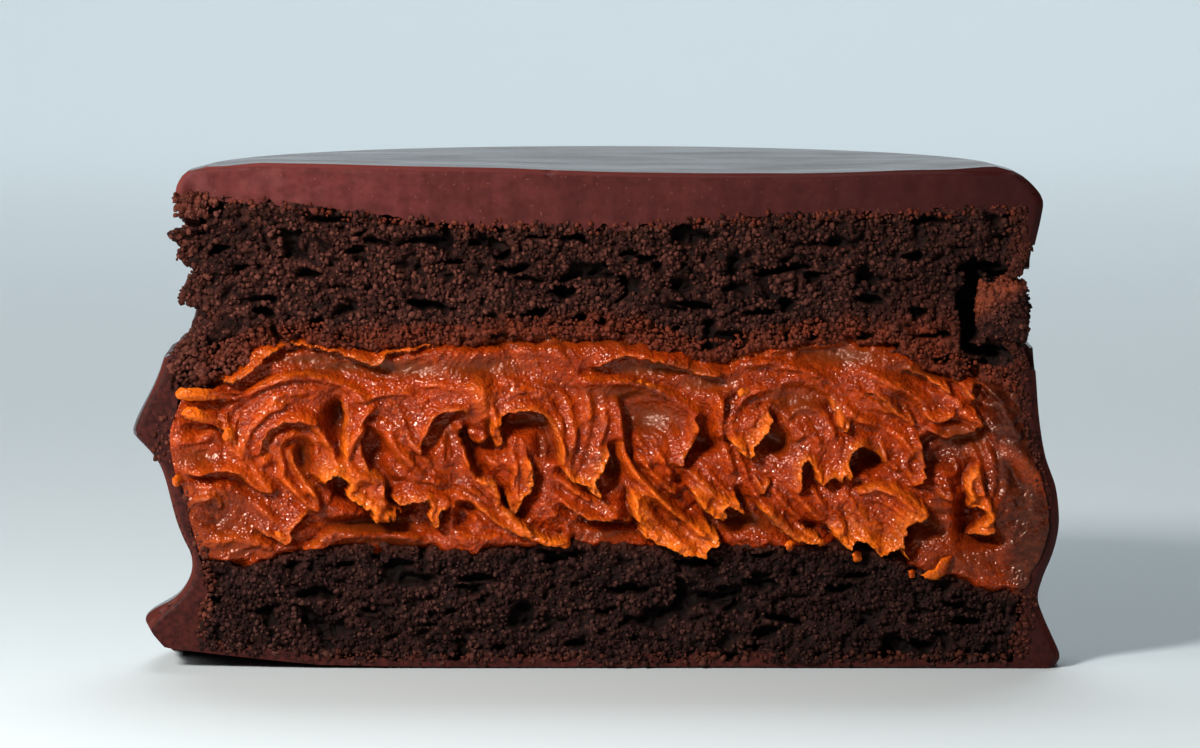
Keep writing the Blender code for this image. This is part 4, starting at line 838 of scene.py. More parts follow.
def chocolate_material():
    """Dark outside of the coat, glossy on top, and the satin redder face where it was cut; the cut face carries painted
    light and shade.
    """
    made = Shading("chocolate", IOR=1.5, Specular_IOR_Level=0.12)
    cut = made.stored("cut")
    cloudy = made.noise(5.0, 3.0)
    outside = made.mix(made.span(cloudy, 0.35, 0.65), (0.030, 0.0085, 0.0065), (0.044, 0.0125, 0.0095))
    knife = made.span(made.noise(2.6, 4.0, (0.5, 1.0, 3.0)), 0.3, 0.7)
    sliced = made.mix(knife, (0.085, 0.0150, 0.0135), (0.150, 0.0290, 0.0260))
    sliced = made.mix(made.span(made.noise(0.5, 4.0), 0.45, 0.75, 0.0, 0.6), sliced, (0.060, 0.0100, 0.0090))
    away = made.node("ShaderNodeSeparateXYZ", {"Vector": made.place()}).outputs["X"]
    # Painted light: soft lighter patches on the left of the cut face, where the light falls.
    glow = made.sum(made.span(made.noise(2.2, 2.0), 0.5, 0.72), made.span(away, -12.0, -20.0), "MULTIPLY")
    sliced = made.mix(made.sum(glow, 0.4, "MULTIPLY"), sliced, (0.21, 0.060, 0.056))
    blotch = made.span(made.noise(1.6, 3.0, (1.6, 1.0, 0.7)), 0.42, 0.72, 0.0, 0.45)
    sliced = made.mix(blotch, sliced, (0.040, 0.0062, 0.0054))
    fleck = made.span(made.noise(0.3, 1.0), 0.69, 0.76)
    sliced = made.mix(fleck, sliced, (0.22, 0.065, 0.055))
    # Painted highlight: a lighter red line along the cut face's outline, where its rounded edge catches the light.
    sliced = made.mix(made.stored("rim"), sliced, (0.15, 0.028, 0.024))
    # Painted shade: the cut face is painted darker towards the right.
    sliced = made.mix(made.span(away, -24.0, 28.0, 0.0, 0.9), sliced, (0.020, 0.0026, 0.0023))
    # Painted shade: a darker copy of the cut colour for the coat's cut faces below the slab.
    painted_shade_cut = made.mix(made.span(made.noise(0.35, 3.0), 0.35, 0.65), (0.022, 0.0038, 0.0030), (0.062, 0.0105, 0.0078))
    # Painted highlight along the outline there too.
    painted_shade_cut = made.mix(made.stored("rim"), painted_shade_cut, (0.085, 0.0160, 0.0110))
    # Painted shade: darker again towards the right.
    painted_shade_cut = made.mix(made.span(away, 10.0, 29.0, 0.0, 0.55), painted_shade_cut, (0.020, 0.0036, 0.0028))
    # The slab keeps the lit cut colour; the cut faces below it take the painted shade copy.
    sliced = made.mix(made.stored("slab"), painted_shade_cut, sliced)
    broken = made.mix(made.span(made.noise(0.5, 3.0), 0.35, 0.65), (0.016, 0.0050, 0.0038), (0.048, 0.0135, 0.0105))
    colour = made.mix(cut, outside, sliced)
    made.set("Base Color", made.mix(made.stored("broken"), colour, broken))
    polish = made.span(made.noise(3.2, 3.0, (3.0, 1.0, 1.0)), 0.3, 0.7, 0.17, 0.30)
    matt = made.sum(cut, made.stored("broken"), "MAXIMUM")
    satin = made.span(made.noise(0.4, 3.0), 0.3, 0.7, 0.46, 0.60)
    lift = made.sum(made.sum(satin, polish, "SUBTRACT"), matt, "MULTIPLY")
    torn = made.sum(made.stored("broken"), 0.3, "MULTIPLY")
    made.set("Roughness", made.sum(made.sum(polish, lift), torn))
    made.set("Specular IOR Level", made.span(made.stored("broken"), 0.0, 1.0, 0.12, 0.02))
    streak = made.bump(made.noise(0.6, 3.0, (0.6, 1.0, 4.0)), 0.012, 0.6)
    made.set("Normal", made.bump(made.noise(0.18, 3.0), 0.012, 0.6, streak))
    return made.material


def stage_material():
    made = Shading("pale_paper", Roughness=0.85)
    made.set("Base Color", made.mix(made.noise(300.0), (0.60, 0.66, 0.69), (0.63, 0.69, 0.72)))
    return made.material


# ---------------------------------------------------------------------------------------------------
# The layers
# ---------------------------------------------------------------------------------------------------

CRUMB_RECESS = 0.28  # the crumb tears out a little behind the knife's plane


def behind_filling(x, z):
    """How far the crumb draws back where the caramel lies in front of it."""
    flat = np.stack([x, 0 * x, z], axis=-1)
    ragged = 0.3 * clouds(flat, 0.7, 97)
    inside = np.minimum(FILLING_TOP(x) - z, z - FILLING_BOTTOM(x)) + ragged
    return 2.2 * smooth(inside, -0.1, 1.2)


def cookie(name, node, slot, material, bottom, top, columns, rows, exposed, seed, tears, soak, left):
    """A cookie layer with real crumb on its cut face and on the sides that the coat has left bare."""
    angles = back_turn(*exposed, 0.16, 1.5)
    grid, way, cut_share = drum(bottom, top, columns, angles, rows, 0.15, left)
    points = grid.reshape(-1, 3)
    stand, tone, pore = crumb_relief(points, seed, tears)
    reach = stand - (CRUMB_RECESS + behind_filling(points[:, 0], points[:, 2])) * cut_share.ravel()
    points = points + way.reshape(-1, 3) * reach[:, None]
    red = soak(points[:, 0], points[:, 2])
    middles = with_middles(points.reshape(grid.shape))
    plain = np.array([0.5, 0.5])
    # pore holds the gap depth, which the crumb material paints as shade.
    values = {"tone": np.append(0.6 * tone, plain), "pore": np.append(pore, 0 * plain), "soak": np.append(red, 0 * plain)}
    piece = mesh_piece(name, middles, drum_faces(grid.shape[0], rows), material, **values)
    finish_piece(piece, slot, node)
    return points.reshape(grid.shape), way, pore.reshape(grid.shape[:2]), red.reshape(grid.shape[:2])


def near_filling_top(x, z):
    ragged = 0.5 * clouds(np.stack([x, 0 * x, 0 * z], axis=-1), 1.3, 91)
    smear = 0.9 * np.exp(-(((x - 22.2) / 2.4) ** 2) - ((z - 22.6) / 2.0) ** 2)
    return np.maximum(0.85 * smooth(z - FILLING_TOP(x) + ragged, 2.0, 0.2), smear)


def near_filling_bottom(x, z):
    return 0.35 * smooth(FILLING_BOTTOM(x) - z, 0.7, 0.0)


def caramel(material):
    def bottom(x):
        return FILLING_BOTTOM(x) - 0.5

    def top(x):
        return FILLING_TOP(x) + 0.7

    rows = 134
    grid, way, cut_share = drum(bottom, top, 545, back_turn(1.2, 1.2, 0.4, 1.8), rows, 0.1)
    points = grid.reshape(-1, 3)
    x, z = points[:, 0], points[:, 2]
    height, lip, hollow, brown, crest = caramel_relief(x, z)
    flat = np.stack([x, 0 * x, z], axis=-1)
    edge = 0.35 * clouds(flat, 0.9, 95)
    height -= 1.5 * smooth(top(x) - z + edge, 1.7, 0.0)
    height -= 1.3 * smooth(z - bottom(x) + edge, 1.0, 0.0) * (1.0 - np.clip(lip, 0.0, 1.0))
    height *= cut_share.ravel()
    # Painted shade: the caramel is painted darker towards the right end and in the shade patches, less so along an
    # ochre streak.
    streak = np.exp(-(((x - 29.0) + 0.85 * (z - 13.9)) / 0.5) ** 2) * smooth(np.abs(z - 13.9), 2.6, 1.2)
    slant = np.where(z > 12.0, 0.20, 0.10) * (z - 12.0)
    painted_dusk_shade = smooth(x + slant, 26.4, 28.4) * (1.0 - 0.75 * streak)
    for depth, (middle_x, middle_z), (wide, tall) in PAINTED_SHADE_PATCHES:
        patch = depth * np.exp(-(((x - middle_x) / wide) ** 2) - ((z - middle_z) / tall) ** 2)
        painted_dusk_shade = np.maximum(painted_dusk_shade, patch)
    pebble = np.zeros(x.shape)
    dark = painted_dusk_shade > 0.02
    pebble[dark] = lumps(flat[dark], 0.62, 96)[0]
    height += 0.22 * painted_dusk_shade * pebble
    spill_left = smooth(x, -28.3, -29.4) * smooth(z, 11.0, 14.0) * smooth(z, 18.6, 16.6)
    spill_right = smooth(x, 28.6, 29.9) * smooth(z, 4.8, 6.4) * smooth(z, 16.0, 12.0)
    spill = (spill_left + spill_right) * cut_share.ravel()
    height += spill * (np.maximum(height, 0.5) - height)
    points = points + way.reshape(-1, 3) * height[:, None]
    lean = LEAN * np.maximum(height, 0.0)
    points[:, 0] += lean + 0.6 * (spill_right - spill_left) * cut_share.ravel()
    points[:, 2] -= lean
    middles = with_middles(points.reshape(grid.shape))
    values = {"lip": lip, "hollow": hollow, "brown": brown * (1.0 - painted_dusk_shade), "crest": crest, "painted_dusk_shade": painted_dusk_shade}
    values = {key: np.append(numbers, [0.0, 0.0]) for key, numbers in values.items()}
    piece = mesh_piece("caramel_swirls", middles, drum_faces(grid.shape[0], rows), material, **values)
    finish_piece(piece, "caramel", "caramel_filling")


LEAN = 0.35  # a lip leans over to the lower right by this share of its height
# Patches of painted shade, where the caramel is painted darker and browner: how much, middle (X, Z), half width and
# half height.
PAINTED_SHADE_PATCHES = (
    (0.6, (-26.6, 10.6), (3.4, 2.0)),
    (0.55, (25.6, 7.6), (3.0, 1.7)),
    (0.45, (23.8, 14.8), (2.4, 1.0)),
    (0.40, (22.6, 9.6), (1.4, 1.0)),
)

# ---------------------------------------------------------------------------------------------------
# The chocolate coat
# ---------------------------------------------------------------------------------------------------

# Height of the top along the cut: it dips right of the middle.
FRONT_TOP = curve(
    (-29, 34.9), (-25, 35.15), (-21, 35.1), (-15.5, 34.95), (-7, 34.75), (-3, 34.6), (4, 34.42),
    (13.5, 34.42), (22, 34.65), (28, 34.6),
)
COAT_COLUMNS = 384
SIDE_ROWS = 104
TOP_RINGS = 40
BASE_RINGS = 6
SHOULDER_Z = 34.9


def cut_edge(x, z):
    """Distance of a point of the cut face from the outline of the coat: below the top, in from the side."""
    angle = np.where(x < 0.0, math.pi, 0.0)
    side = np.sqrt(outer_radius(angle, z) ** 2 - AXIS_D**2) - np.abs(x)
    return np.minimum(FRONT_TOP(x) - z, side)


def coat_cut(x, z):
    """How far the coat's cut face stands in front of the cut plane."""
    flat = np.stack([np.ravel(x), 0 * np.ravel(x), np.ravel(z)], axis=-1)
    stand = 0.07 * clouds(flat, 7.0, 101) + 0.012 * clouds(flat, (0.9, 1.0, 5.0), 102)
    stand += 0.016 * clouds(flat, 0.6, 103)
    for at_x, at_z, reach, depth in COAT_CHIPS:
        stand -= depth * np.exp(-(((flat[:, 0] - at_x) ** 2 + (flat[:, 2] - at_z) ** 2) / reach**2))
    rounding = smooth(cut_edge(flat[:, 0], flat[:, 2]), 0.6, -0.05)
    return (stand - 0.4 * rounding**2).reshape(np.shape(x))


# Chips in the cut face: X, Z, radius, depth.
COAT_CHIPS = ((-3.7, 34.55, 0.3, 0.25), (-28.6, 33.2, 0.7, 0.25))


def coat_outside():
    """The whole coat before it is hollowed and cut: base, side and top, as one closed round surface."""
    turn = np.linspace(0.0, math.tau, COAT_COLUMNS, endpoint=False)[:, None]
    base_share = np.linspace(0.15, 0.985, BASE_RINGS)[None, :]
    base_radius = base_share * outer_radius(turn, np.zeros_like(turn))
    base_z = 0.12 * (1.0 - base_share**6) + 0.0 * turn
    side_z = np.linspace(0.0, SHOULDER_Z, SIDE_ROWS)[None, :] + 0.0 * turn
    side_radius = outer_radius(turn + 0.0 * side_z, side_z)
    top_share = np.linspace(0.985, 0.02, TOP_RINGS)[None, :]
    top_radius = top_share * side_radius[:, -1:]
    x, d = top_radius * np.cos(turn), AXIS_D + top_radius * np.sin(turn)
    level = FRONT_TOP(x) + (TOP_Z - FRONT_TOP(x)) * smooth(d, -1.0, 20.0)
    flat = np.stack([x, d, 0.0 * x], axis=-1).reshape(-1, 3)
    ripple = 0.05 * clouds(flat, (9.0, 5.0, 1.0), 111) + 0.02 * clouds(flat, (3.5, 2.2, 1.0), 112)
    inner = smooth(side_radius[:, -1:] - top_radius, 0.0, 4.0)
    top_z = SHOULDER_Z + (level - SHOULDER_Z + ripple.reshape(x.shape)) * inner
    radius = np.concatenate([base_radius, side_radius, top_radius], axis=1)
    z = np.concatenate([base_z, side_z, top_z], axis=1)
    points = np.stack([radius * np.cos(turn), AXIS_D + radius * np.sin(turn), z], axis=-1)
    points[..., 2] += base_rise(points[..., 0], points[..., 1]) * smooth(z, 6.0, 0.0)
    rows = points.shape[1]
    low, high = points[:, 0].mean(axis=0), points[:, -1].mean(axis=0)
    return np.vstack([points.reshape(-1, 3), low, high]), drum_faces(COAT_COLUMNS, rows)


def coat_hollow():
    """What the cookies and the filling take up, run forward past the knife, with a ragged edge."""
    def bottom(x):
        flat = np.stack([np.ravel(x), 0 * np.ravel(x), 0 * np.ravel(x)], axis=-1)
        wave = 0.3 * clouds(flat, 1.6, 121) + 0.2 * clouds(flat, 0.6, 122)
        return 0.7 + BASE_RISE(x) + wave.reshape(np.shape(x))

    def top(x):
        flat = np.stack([np.ravel(x), 0 * np.ravel(x), 0 * np.ravel(x)], axis=-1)
        wave = 0.22 * clouds(flat, 1.1, 123) + 0.2 * clouds(flat, 0.45, 124)
        return SLAB_UNDERSIDE(x) + wave.reshape(np.shape(x))

    rows = 90
    grid, way, cut_share = drum(bottom, top, 330, back_turn(13.0, 10.0, 0.35, 1.5), rows, 0.0)
    flat = grid.reshape(-1, 3)
    rough = (0.16 * clouds(flat, 0.9, 125) + 0.08 * clouds(flat, 0.4, 126)).reshape(grid.shape[:2])
    front = grid[..., 1] <= 0.0
    radial = np.stack([grid[..., 0], np.where(front, 0.0, grid[..., 1] - AXIS_D), 0.0 * rough], axis=-1)
    radial /= np.linalg.norm(radial, axis=-1, keepdims=True) + 1e-9
    near_wall = smooth(np.hypot(grid[..., 0], grid[..., 1] - AXIS_D), 25.0, 27.5)
    grid = grid + radial * (rough * near_wall)[..., None]
    grid[..., 2] += (base_rise(grid[..., 0], grid[..., 1]) - BASE_RISE(grid[..., 0])) * smooth(grid[..., 2], 6.0, 1.0)
    grid[..., 1] = np.where(front, -6.0, grid[..., 1])
    inner = grid[:, [0, -1]].copy()
    inner[..., 0] *= 0.94
    inner[..., 1] = np.where(front[:, [0, -1]], 1.4, np.maximum(AXIS_D + 0.94 * (inner[..., 1] - AXIS_D), 1.4))
    grid = np.concatenate([inner[:, :1], grid, inner[:, 1:]], axis=1)
    return with_middles(grid), drum_faces(grid.shape[0], rows + 2)


def knife():
    """A block in front of the coat's cut face."""
    xs = np.linspace(-36.0, 36.0, 361)[:, None]
    zs = np.concatenate([np.linspace(-2.0, 33.9, 150), np.linspace(34.0, 35.8, 25), [38.0]])[None, :]
    x, z = np.broadcast_arrays(xs, zs)
    near = np.stack([x, -coat_cut(x, z), z], axis=-1).reshape(-1, 3)
    far = near.copy()
    far[:, 1] = -50.0
    columns, rows = x.shape
    face = grid_faces(columns, rows, closed=False)
    skin = np.vstack([face[:, ::-1], face + len(near)])
    index = np.arange(len(near)).reshape(columns, rows)
    rim = np.concatenate([index[:, 0], index[-1, 1:], index[-2::-1, -1], index[0, -2:0:-1]])
    following = np.roll(rim, -1)
    far_rim, far_following = rim + len(near), following + len(near)
    sides = np.vstack([
        np.stack([rim, following, far_following], axis=-1),
        np.stack([rim, far_following, far_rim], axis=-1),
    ])
    return np.vstack([near, far]), np.vstack([skin, sides])


def rough_ball(centre, half, detail, seed, roughness):
    """Points and triangles of an uneven, slightly squared ball."""
    bm = bmesh.new()
    bmesh.ops.create_icosphere(bm, subdivisions=detail, radius=1.0)
    way = np.array([v.co for v in bm.verts], float)
    faces = np.array([[v.index for v in f.verts] for f in bm.faces])
    bm.free()
    squared = 1.0 / np.max(np.abs(way), axis=1) ** 0.6
    place = way * np.array(half)
    lump = roughness * (clouds(place + seed, 1.6, seed) + 0.45 * clouds(place, 0.6, seed + 1))
    return np.array(centre) + place * (squared + lump / np.mean(half))[:, None], faces


# Where the coat has broken off: centre (X, D, Z), half sizes, roughness in mm.
BREAKS = (
    ((-31.6, 0.0, 26.5), (3.9, 11.0, 4.8), 0.9),
    ((-29.4, -0.3, 30.1), (1.5, 2.6, 1.2), 0.5),
    ((29.4, -0.4, 25.2), (4.3, 9.9, 2.9), 0.7),
    ((31.0, -0.2, 28.1), (2.0, 3.2, 1.4), 0.4),
    ((31.0, -0.2, 22.2), (2.0, 2.8, 1.7), 0.4),
)


def carve(name, body, cutters, material):
    """The body less the cutters, as a mesh object. Each is (points, faces)."""
    made = mesh_piece(name, *body, material)
    tools = []
    for number, cutter in enumerate(cutters):
        tool = mesh_piece(f"{name}_cutter_{number}", *cutter, material)
        step = made.modifiers.new(tool.name, "BOOLEAN")
        step.operation = "DIFFERENCE"
        step.solver = "MANIFOLD"
        step.object = tool
        tools.append(tool)
    bpy.context.view_layer.update()
    graph = bpy.context.evaluated_depsgraph_get()
    carved = bpy.data.meshes.new_from_object(made.evaluated_get(graph))
    made.modifiers.clear()
    made.data = carved
    for tool in tools:
        bpy.data.objects.remove(tool)
    return made


def face_centres(mesh):
    centres = np.empty(len(mesh.polygons) * 3, np.float32)
    mesh.polygons.foreach_get("center", centres)
    return centres.reshape(-1, 3).astype(float) / MM - np.array([AXIS_X, CUT_Y, 0.0])


def coating(material):
    breaks = [
        rough_ball(centre, half, 5, 131 + 10 * number, roughness)
        for number, (centre, half, roughness) in enumerate(BREAKS)
    ]
    made = carve("chocolate_coating_skin", coat_outside(), [coat_hollow(), knife(), *breaks], material)
    mesh = made.data
    middle = face_centres(mesh)
    x, d, z = middle.T
    cut = np.abs(d + coat_cut(x, z)) < 0.04
    angle = np.arctan2(d - AXIS_D, x)
    deep = outer_radius(angle, z) - np.hypot(x, d - AXIS_D) > 0.3
    broken = deep & ~cut & (z < 34.0) & (z > 0.45)
    edge = cut_edge(x, z)
    # rim marks a thin band along the cut face's outline that the material paints as a highlight; slab picks the upper
    # cut face, and the cut faces below it get painted shade.
    for key, faces in (("cut", cut), ("broken", broken), ("rim", smooth(edge, 0.4, 0.1)), ("slab", smooth(z, 30.0, 31.2))):
        layer = mesh.attributes.new(key, "FLOAT", "FACE")
        layer.data.foreach_set("value", faces.astype(np.float32))
    mesh.shade_smooth()
    mesh.set_sharp_from_angle(angle=math.radians(42.0))
    finish_piece(made, "chocolate", "chocolate_coating")
    return made


# ---------------------------------------------------------------------------------------------------
# Loose block, grains and flakes
# ---------------------------------------------------------------------------------------------------

BLOCK = ((27.6, 1.25, 24.95), (1.65, 1.9, 2.0))


def loose_block(material):
    points, faces = rough_ball(*BLOCK, 6, 151, 0.35)
    way = points - np.array(BLOCK[0])
    way /= np.linalg.norm(way, axis=1, keepdims=True)
    stand, tone, pore = crumb_relief(points, 161, ())
    points = points + way * (0.8 * stand)[:, None]
    # Painted light: the block's upper left face, turned to the light, is painted lighter and redder with the crumb's
    # red colour.
    painted_lit_face = 0.9 * smooth(points[:, 2] - 0.7 * points[:, 0], 5.6, 7.2)
    piece = mesh_piece("loose_block", points, faces, material, tone=0.7 * tone, pore=pore, soak=painted_lit_face)
    finish_piece(piece, "crumb", "crumb_chunk")
    draw = np.random.default_rng(155)
    shown = draw.permutation(np.flatnonzero((pore < 0.5) & (way[:, 1] < 0.3)))[:700]
    grains("loose_block_grains", "crumb", ((points[shown], 0.07, 0.22, painted_lit_face[shown]),), material)


def grains(name, slot, groups, material):
    """Joined angular grains. Each group is (centres, smallest radius, largest radius, redness of each); on the loose
    block the redness is painted light.
    """
    draw = np.random.default_rng(7)
    bm = bmesh.new()
    bmesh.ops.create_icosphere(bm, subdivisions=1, radius=1.0)
    ball = np.array([v.co for v in bm.verts], float)
    ball_faces = np.array([[v.index for v in f.verts] for f in bm.faces])
    bm.free()
    centres = np.vstack([group[0] for group in groups])
    smallest, largest = (np.concatenate([np.full(len(g[0]), g[k]) for g in groups]) for k in (1, 2))
    count = len(centres)
    radius = smallest + (largest - smallest) * draw.random(count) ** 1.6
    half = radius[:, None] * draw.uniform(0.6, 1.35, (count, 3))
    dents = draw.uniform(0.62, 1.3, (count, len(ball), 1))
    spin = np.array([Euler(turns).to_matrix() for turns in draw.uniform(0.0, math.tau, (count, 3))])
    points = centres[:, None, :] + np.einsum("gij,gvj->gvi", spin, ball * dents * half[:, None, :])
    faces = ball_faces + np.arange(count)[:, None, None] * len(ball)
    patch = 0.3 * clouds(centres, 1.5, 171)
    tone = np.repeat(draw.uniform(0.15, 1.05, count) + patch, len(ball))
    soak = np.repeat(np.concatenate([g[3] + 0.0 * g[0][:, 0] for g in groups]) * draw.uniform(0.5, 1.0, count), len(ball))
    values = {"tone": tone, "soak": soak, "pore": 0.0 * tone}
    finish_piece(mesh_piece(name, points.reshape(-1, 3), faces.reshape(-1, 3), material, **values), slot)


def packed(surface, keep, step, seed):
    """Centres of grains packed over the chosen part of a crumb surface, with the redness there."""
    points, way, pore, red = surface
    draw = np.random.default_rng(seed)
    columns, rows = pore.shape
    column, row = np.meshgrid(np.arange(0, columns - step, step), np.arange(0, rows - step, step), indexing="ij")
    column = (column + draw.uniform(0.0, step, column.shape)).astype(int)
    row = (row + draw.uniform(0.0, step, row.shape)).astype(int)
    chosen = keep[column, row]
    column, row = column[chosen], row[chosen]
    lift = draw.uniform(-0.02, 0.14, len(column))
    return points[column, row] + way[column, row] * lift[:, None], red[column, row]


def border_line(line, low, high, count, scatter, seed, ahead=0.0):
    """Centres scattered along a height line of the cut face."""
    draw = np.random.default_rng(seed)
    x = draw.uniform(low, high, count)
    z = line(x) + scatter * np.clip(draw.normal(0.0, 1.0, count), -1.7, 1.7)
    return np.stack([x, draw.uniform(-0.1, 0.25, count) - ahead, z], axis=-1)


def side_line(line, low, high, count, scatter, seed):
    """Centres scattered along a line that goes up the cut face. line gives X at each Z."""
    draw = np.random.default_rng(seed)
    z = draw.uniform(low, high, count)
    x = line(z) + scatter * np.clip(draw.normal(0.0, 1.0, count), -1.7, 1.7)
    return np.stack([x, draw.uniform(-0.12, 0.2, count), z], axis=-1)


# Thin torn bits of caramel that lie free: how far in front of the cut plane, then the outline (X, Z).
FLAKES = (
    (1.0, ((-29.6, 19.2), (-29.4, 19.6), (-28.7, 19.7), (-27.4, 19.6), (-26.0, 19.3), (-25.0, 19.2), (-26.2, 18.9), (-27.8, 18.8), (-29.2, 18.9))),
    (0.7, ((-29.2, 17.8), (-28.9, 18.3), (-28.2, 18.3), (-27.4, 17.8), (-26.4, 17.2), (-26.2, 16.8), (-27.2, 17.1), (-28.4, 17.4))),
    (1.0, ((-26.4, 16.4), (-26.0, 16.9), (-25.6, 16.7), (-25.6, 16.1), (-26.1, 15.9))),
    (0.7, ((-29.9, 13.3), (-29.5, 13.6), (-29.2, 13.2), (-29.4, 12.8), (-29.8, 12.9))),
    (0.7, ((-22.8, 9.7), (-22.3, 9.6), (-21.7, 9.1), (-21.9, 8.9), (-22.6, 9.2))),
    (1.3, ((9.2, 19.4), (9.5, 19.7), (10.0, 19.6), (9.9, 19.2), (9.4, 19.1))),
    (1.2, ((2.9, 20.0), (3.3, 20.0), (3.6, 19.8), (3.4, 19.6), (3.0, 19.8))),
    (1.1, ((2.3, 20.2), (2.6, 20.3), (2.7, 20.0), (2.4, 20.0))),
    (0.5, ((12.5, 8.7), (12.8, 9.0), (13.2, 8.8), (13.1, 8.4), (12.7, 8.3))),
    (0.4, ((17.2, 8.0), (17.5, 8.3), (17.8, 8.1), (17.8, 7.6), (17.4, 7.5))),
    (0.5, ((22.0, 6.6), (22.5, 6.9), (23.0, 7.1), (23.4, 7.7), (24.2, 7.9), (23.9, 7.2), (23.6, 6.6), (23.0, 6.3), (22.4, 6.4))),
    (0.2, ((21.1, 6.9), (21.5, 6.9), (21.6, 6.5), (21.2, 6.4))),
    (0.6, ((14.7, 8.9), (15.0, 9.2), (15.3, 8.9), (15.0, 8.6))),
)


def flakes(material):
    """Small bent plates, one for each outline, thinner at the rim."""
    draw = np.random.default_rng(17)
    points, faces, fade = [], [], []
    for stand, outline in FLAKES:
        rim = dense(outline + outline[:1], per_span=4)[:-1]
        rim = rim + draw.normal(0.0, 0.03, rim.shape)
        middle = rim.mean(axis=0)
        inner = middle + 0.55 * (rim - middle)
        first, count = sum(len(p) for p in points), len(rim)
        lean = -0.28 * (rim[:, 0] - middle[0])
        for ring, forward in ((rim, stand), (inner, stand + 0.16), (rim, stand - 0.14)):
            points.append(np.stack([ring[:, 0], -forward - lean, ring[:, 1]], axis=-1))
        points.append(np.array([[middle[0], -stand - 0.2, middle[1]], [middle[0], -stand + 0.16, middle[1]]]))
        fade += [0.8 * smooth(part[:, 0] - middle[0], -0.8, 1.8) for part in points[-4:]]
        at = first + np.arange(count)
        following = first + np.roll(np.arange(count), -1)
        front, back = 3 * count + first, 3 * count + first + 1
        for near, far in ((at, at + count), (at + 2 * count, at)):
            shift = near[0] - at[0]
            step = far[0] - at[0]
            faces.append(np.stack([at + shift, following + shift, following + step], axis=-1))
            faces.append(np.stack([at + shift, following + step, at + step], axis=-1))
        faces.append(np.stack([at + count, following + count, np.full(count, front)], axis=-1))
        faces.append(np.stack([following + 2 * count, at + 2 * count, np.full(count, back)], axis=-1))
    points = np.vstack(points)
    # The lip share paints each flake with a glow of light, fading towards its right end.
    lip = 0.85 + 0.35 * clouds(points, 0.5, 89) - np.concatenate(fade)
    plain = 0.0 * lip
    values = {"lip": lip, "crest": plain, "hollow": plain, "brown": plain, "painted_dusk_shade": plain}
    piece = mesh_piece("caramel_flakes", points, np.vstack(faces), material, **values)
    finish_piece(piece, "caramel")


# ---------------------------------------------------------------------------------------------------
# Stage, lights and camera
# ---------------------------------------------------------------------------------------------------

CUT_MIDDLE = Vector((AXIS_X * MM, CUT_Y * MM, 0.5 * TOP_Z * MM))
CAMERA_AWAY = 0.420  # in front of the cut plane
CAMERA_Z = TOP_Z * MM + 0.022
CAMERA_PITCH = math.radians(4.96)


def stage():
    """A floor that curves up into a wall far behind."""
    profile = [(-2.5, 0.0), (0.7, 0.0)]
    bend = 0.5
    for step in range(1, 13):
        turn = step / 12 * math.pi / 2
        profile.append((0.7 + bend * math.sin(turn), bend * (1.0 - math.cos(turn))))
    profile.append((0.7 + bend, 3.0))
    bm = bmesh.new()
    rows = [[bm.verts.new((side, y, z)) for y, z in profile] for side in (-3.0, 3.0)]
    for place in range(len(profile) - 1):
        bm.faces.new((rows[0][place], rows[1][place], rows[1][place + 1], rows[0][place + 1]))
    mesh = bpy.data.meshes.new("paper_sweep")
    bm.to_mesh(mesh)
    bm.free()
    mesh.shade_smooth()
    mesh.materials.append(stage_material())
    sweep = bpy.data.objects.new("paper_sweep", mesh)
    bpy.context.scene.collection.objects.link(sweep)


def softbox(name, azimuth, elevation, away, size, watts, colour):
    """An area light. Azimuth is in degrees from the camera's side, to the left below zero."""
    turn, rise = math.radians(azimuth), math.radians(elevation)
    way = Vector((math.sin(turn) * math.cos(rise), -math.cos(turn) * math.cos(rise), math.sin(rise)))
    data = bpy.data.lights.new(name, "AREA")
    data.shape = "DISK"
    data.size = size
    data.energy = watts
    data.color = colour
    lamp = bpy.data.objects.new(name, data)
    lamp.location = CUT_MIDDLE + away * way
    lamp.rotation_euler = way.to_track_quat("Z", "Y").to_euler()
    bpy.context.scene.collection.objects.link(lamp)
    return lamp


def lights():
    softbox("key", -36.0, 31.0, 0.32, 0.07, 1.25, (1.0, 0.96, 0.90))
    softbox("side_fill", -60.0, 22.0, 0.16, 0.08, 0.06, (1.0, 0.98, 0.96))
    overhead = softbox("overhead", 180.0, 52.0, 1.35, 0.8, 11.0, (0.93, 0.98, 1.0))
    overhead.rotation_euler = (math.radians(8.0), 0.0, 0.0)


def surroundings():
    world = bpy.data.worlds.new("studio")
    world.use_nodes = True
    background = world.node_tree.nodes["Background"]
    background.inputs["Color"].default_value = (0.80, 0.90, 0.95, 1.0)
    background.inputs["Strength"].default_value = 0.05
    bpy.context.scene.world = world


def camera():
    data = bpy.data.cameras.new("camera")
    data.sensor_width = 36.0
    data.lens = 182.7
    data.clip_start = 0.01
    made = bpy.data.objects.new("camera", data)
    made.location = (AXIS_X * MM - 0.00028, CUT_Y * MM - CAMERA_AWAY, CAMERA_Z)
    made.rotation_euler = (math.pi / 2 - CAMERA_PITCH, 0.0, 0.0)
    bpy.context.scene.collection.objects.link(made)
    bpy.context.scene.camera = made


# ---------------------------------------------------------------------------------------------------
# Putting it together
# ---------------------------------------------------------------------------------------------------


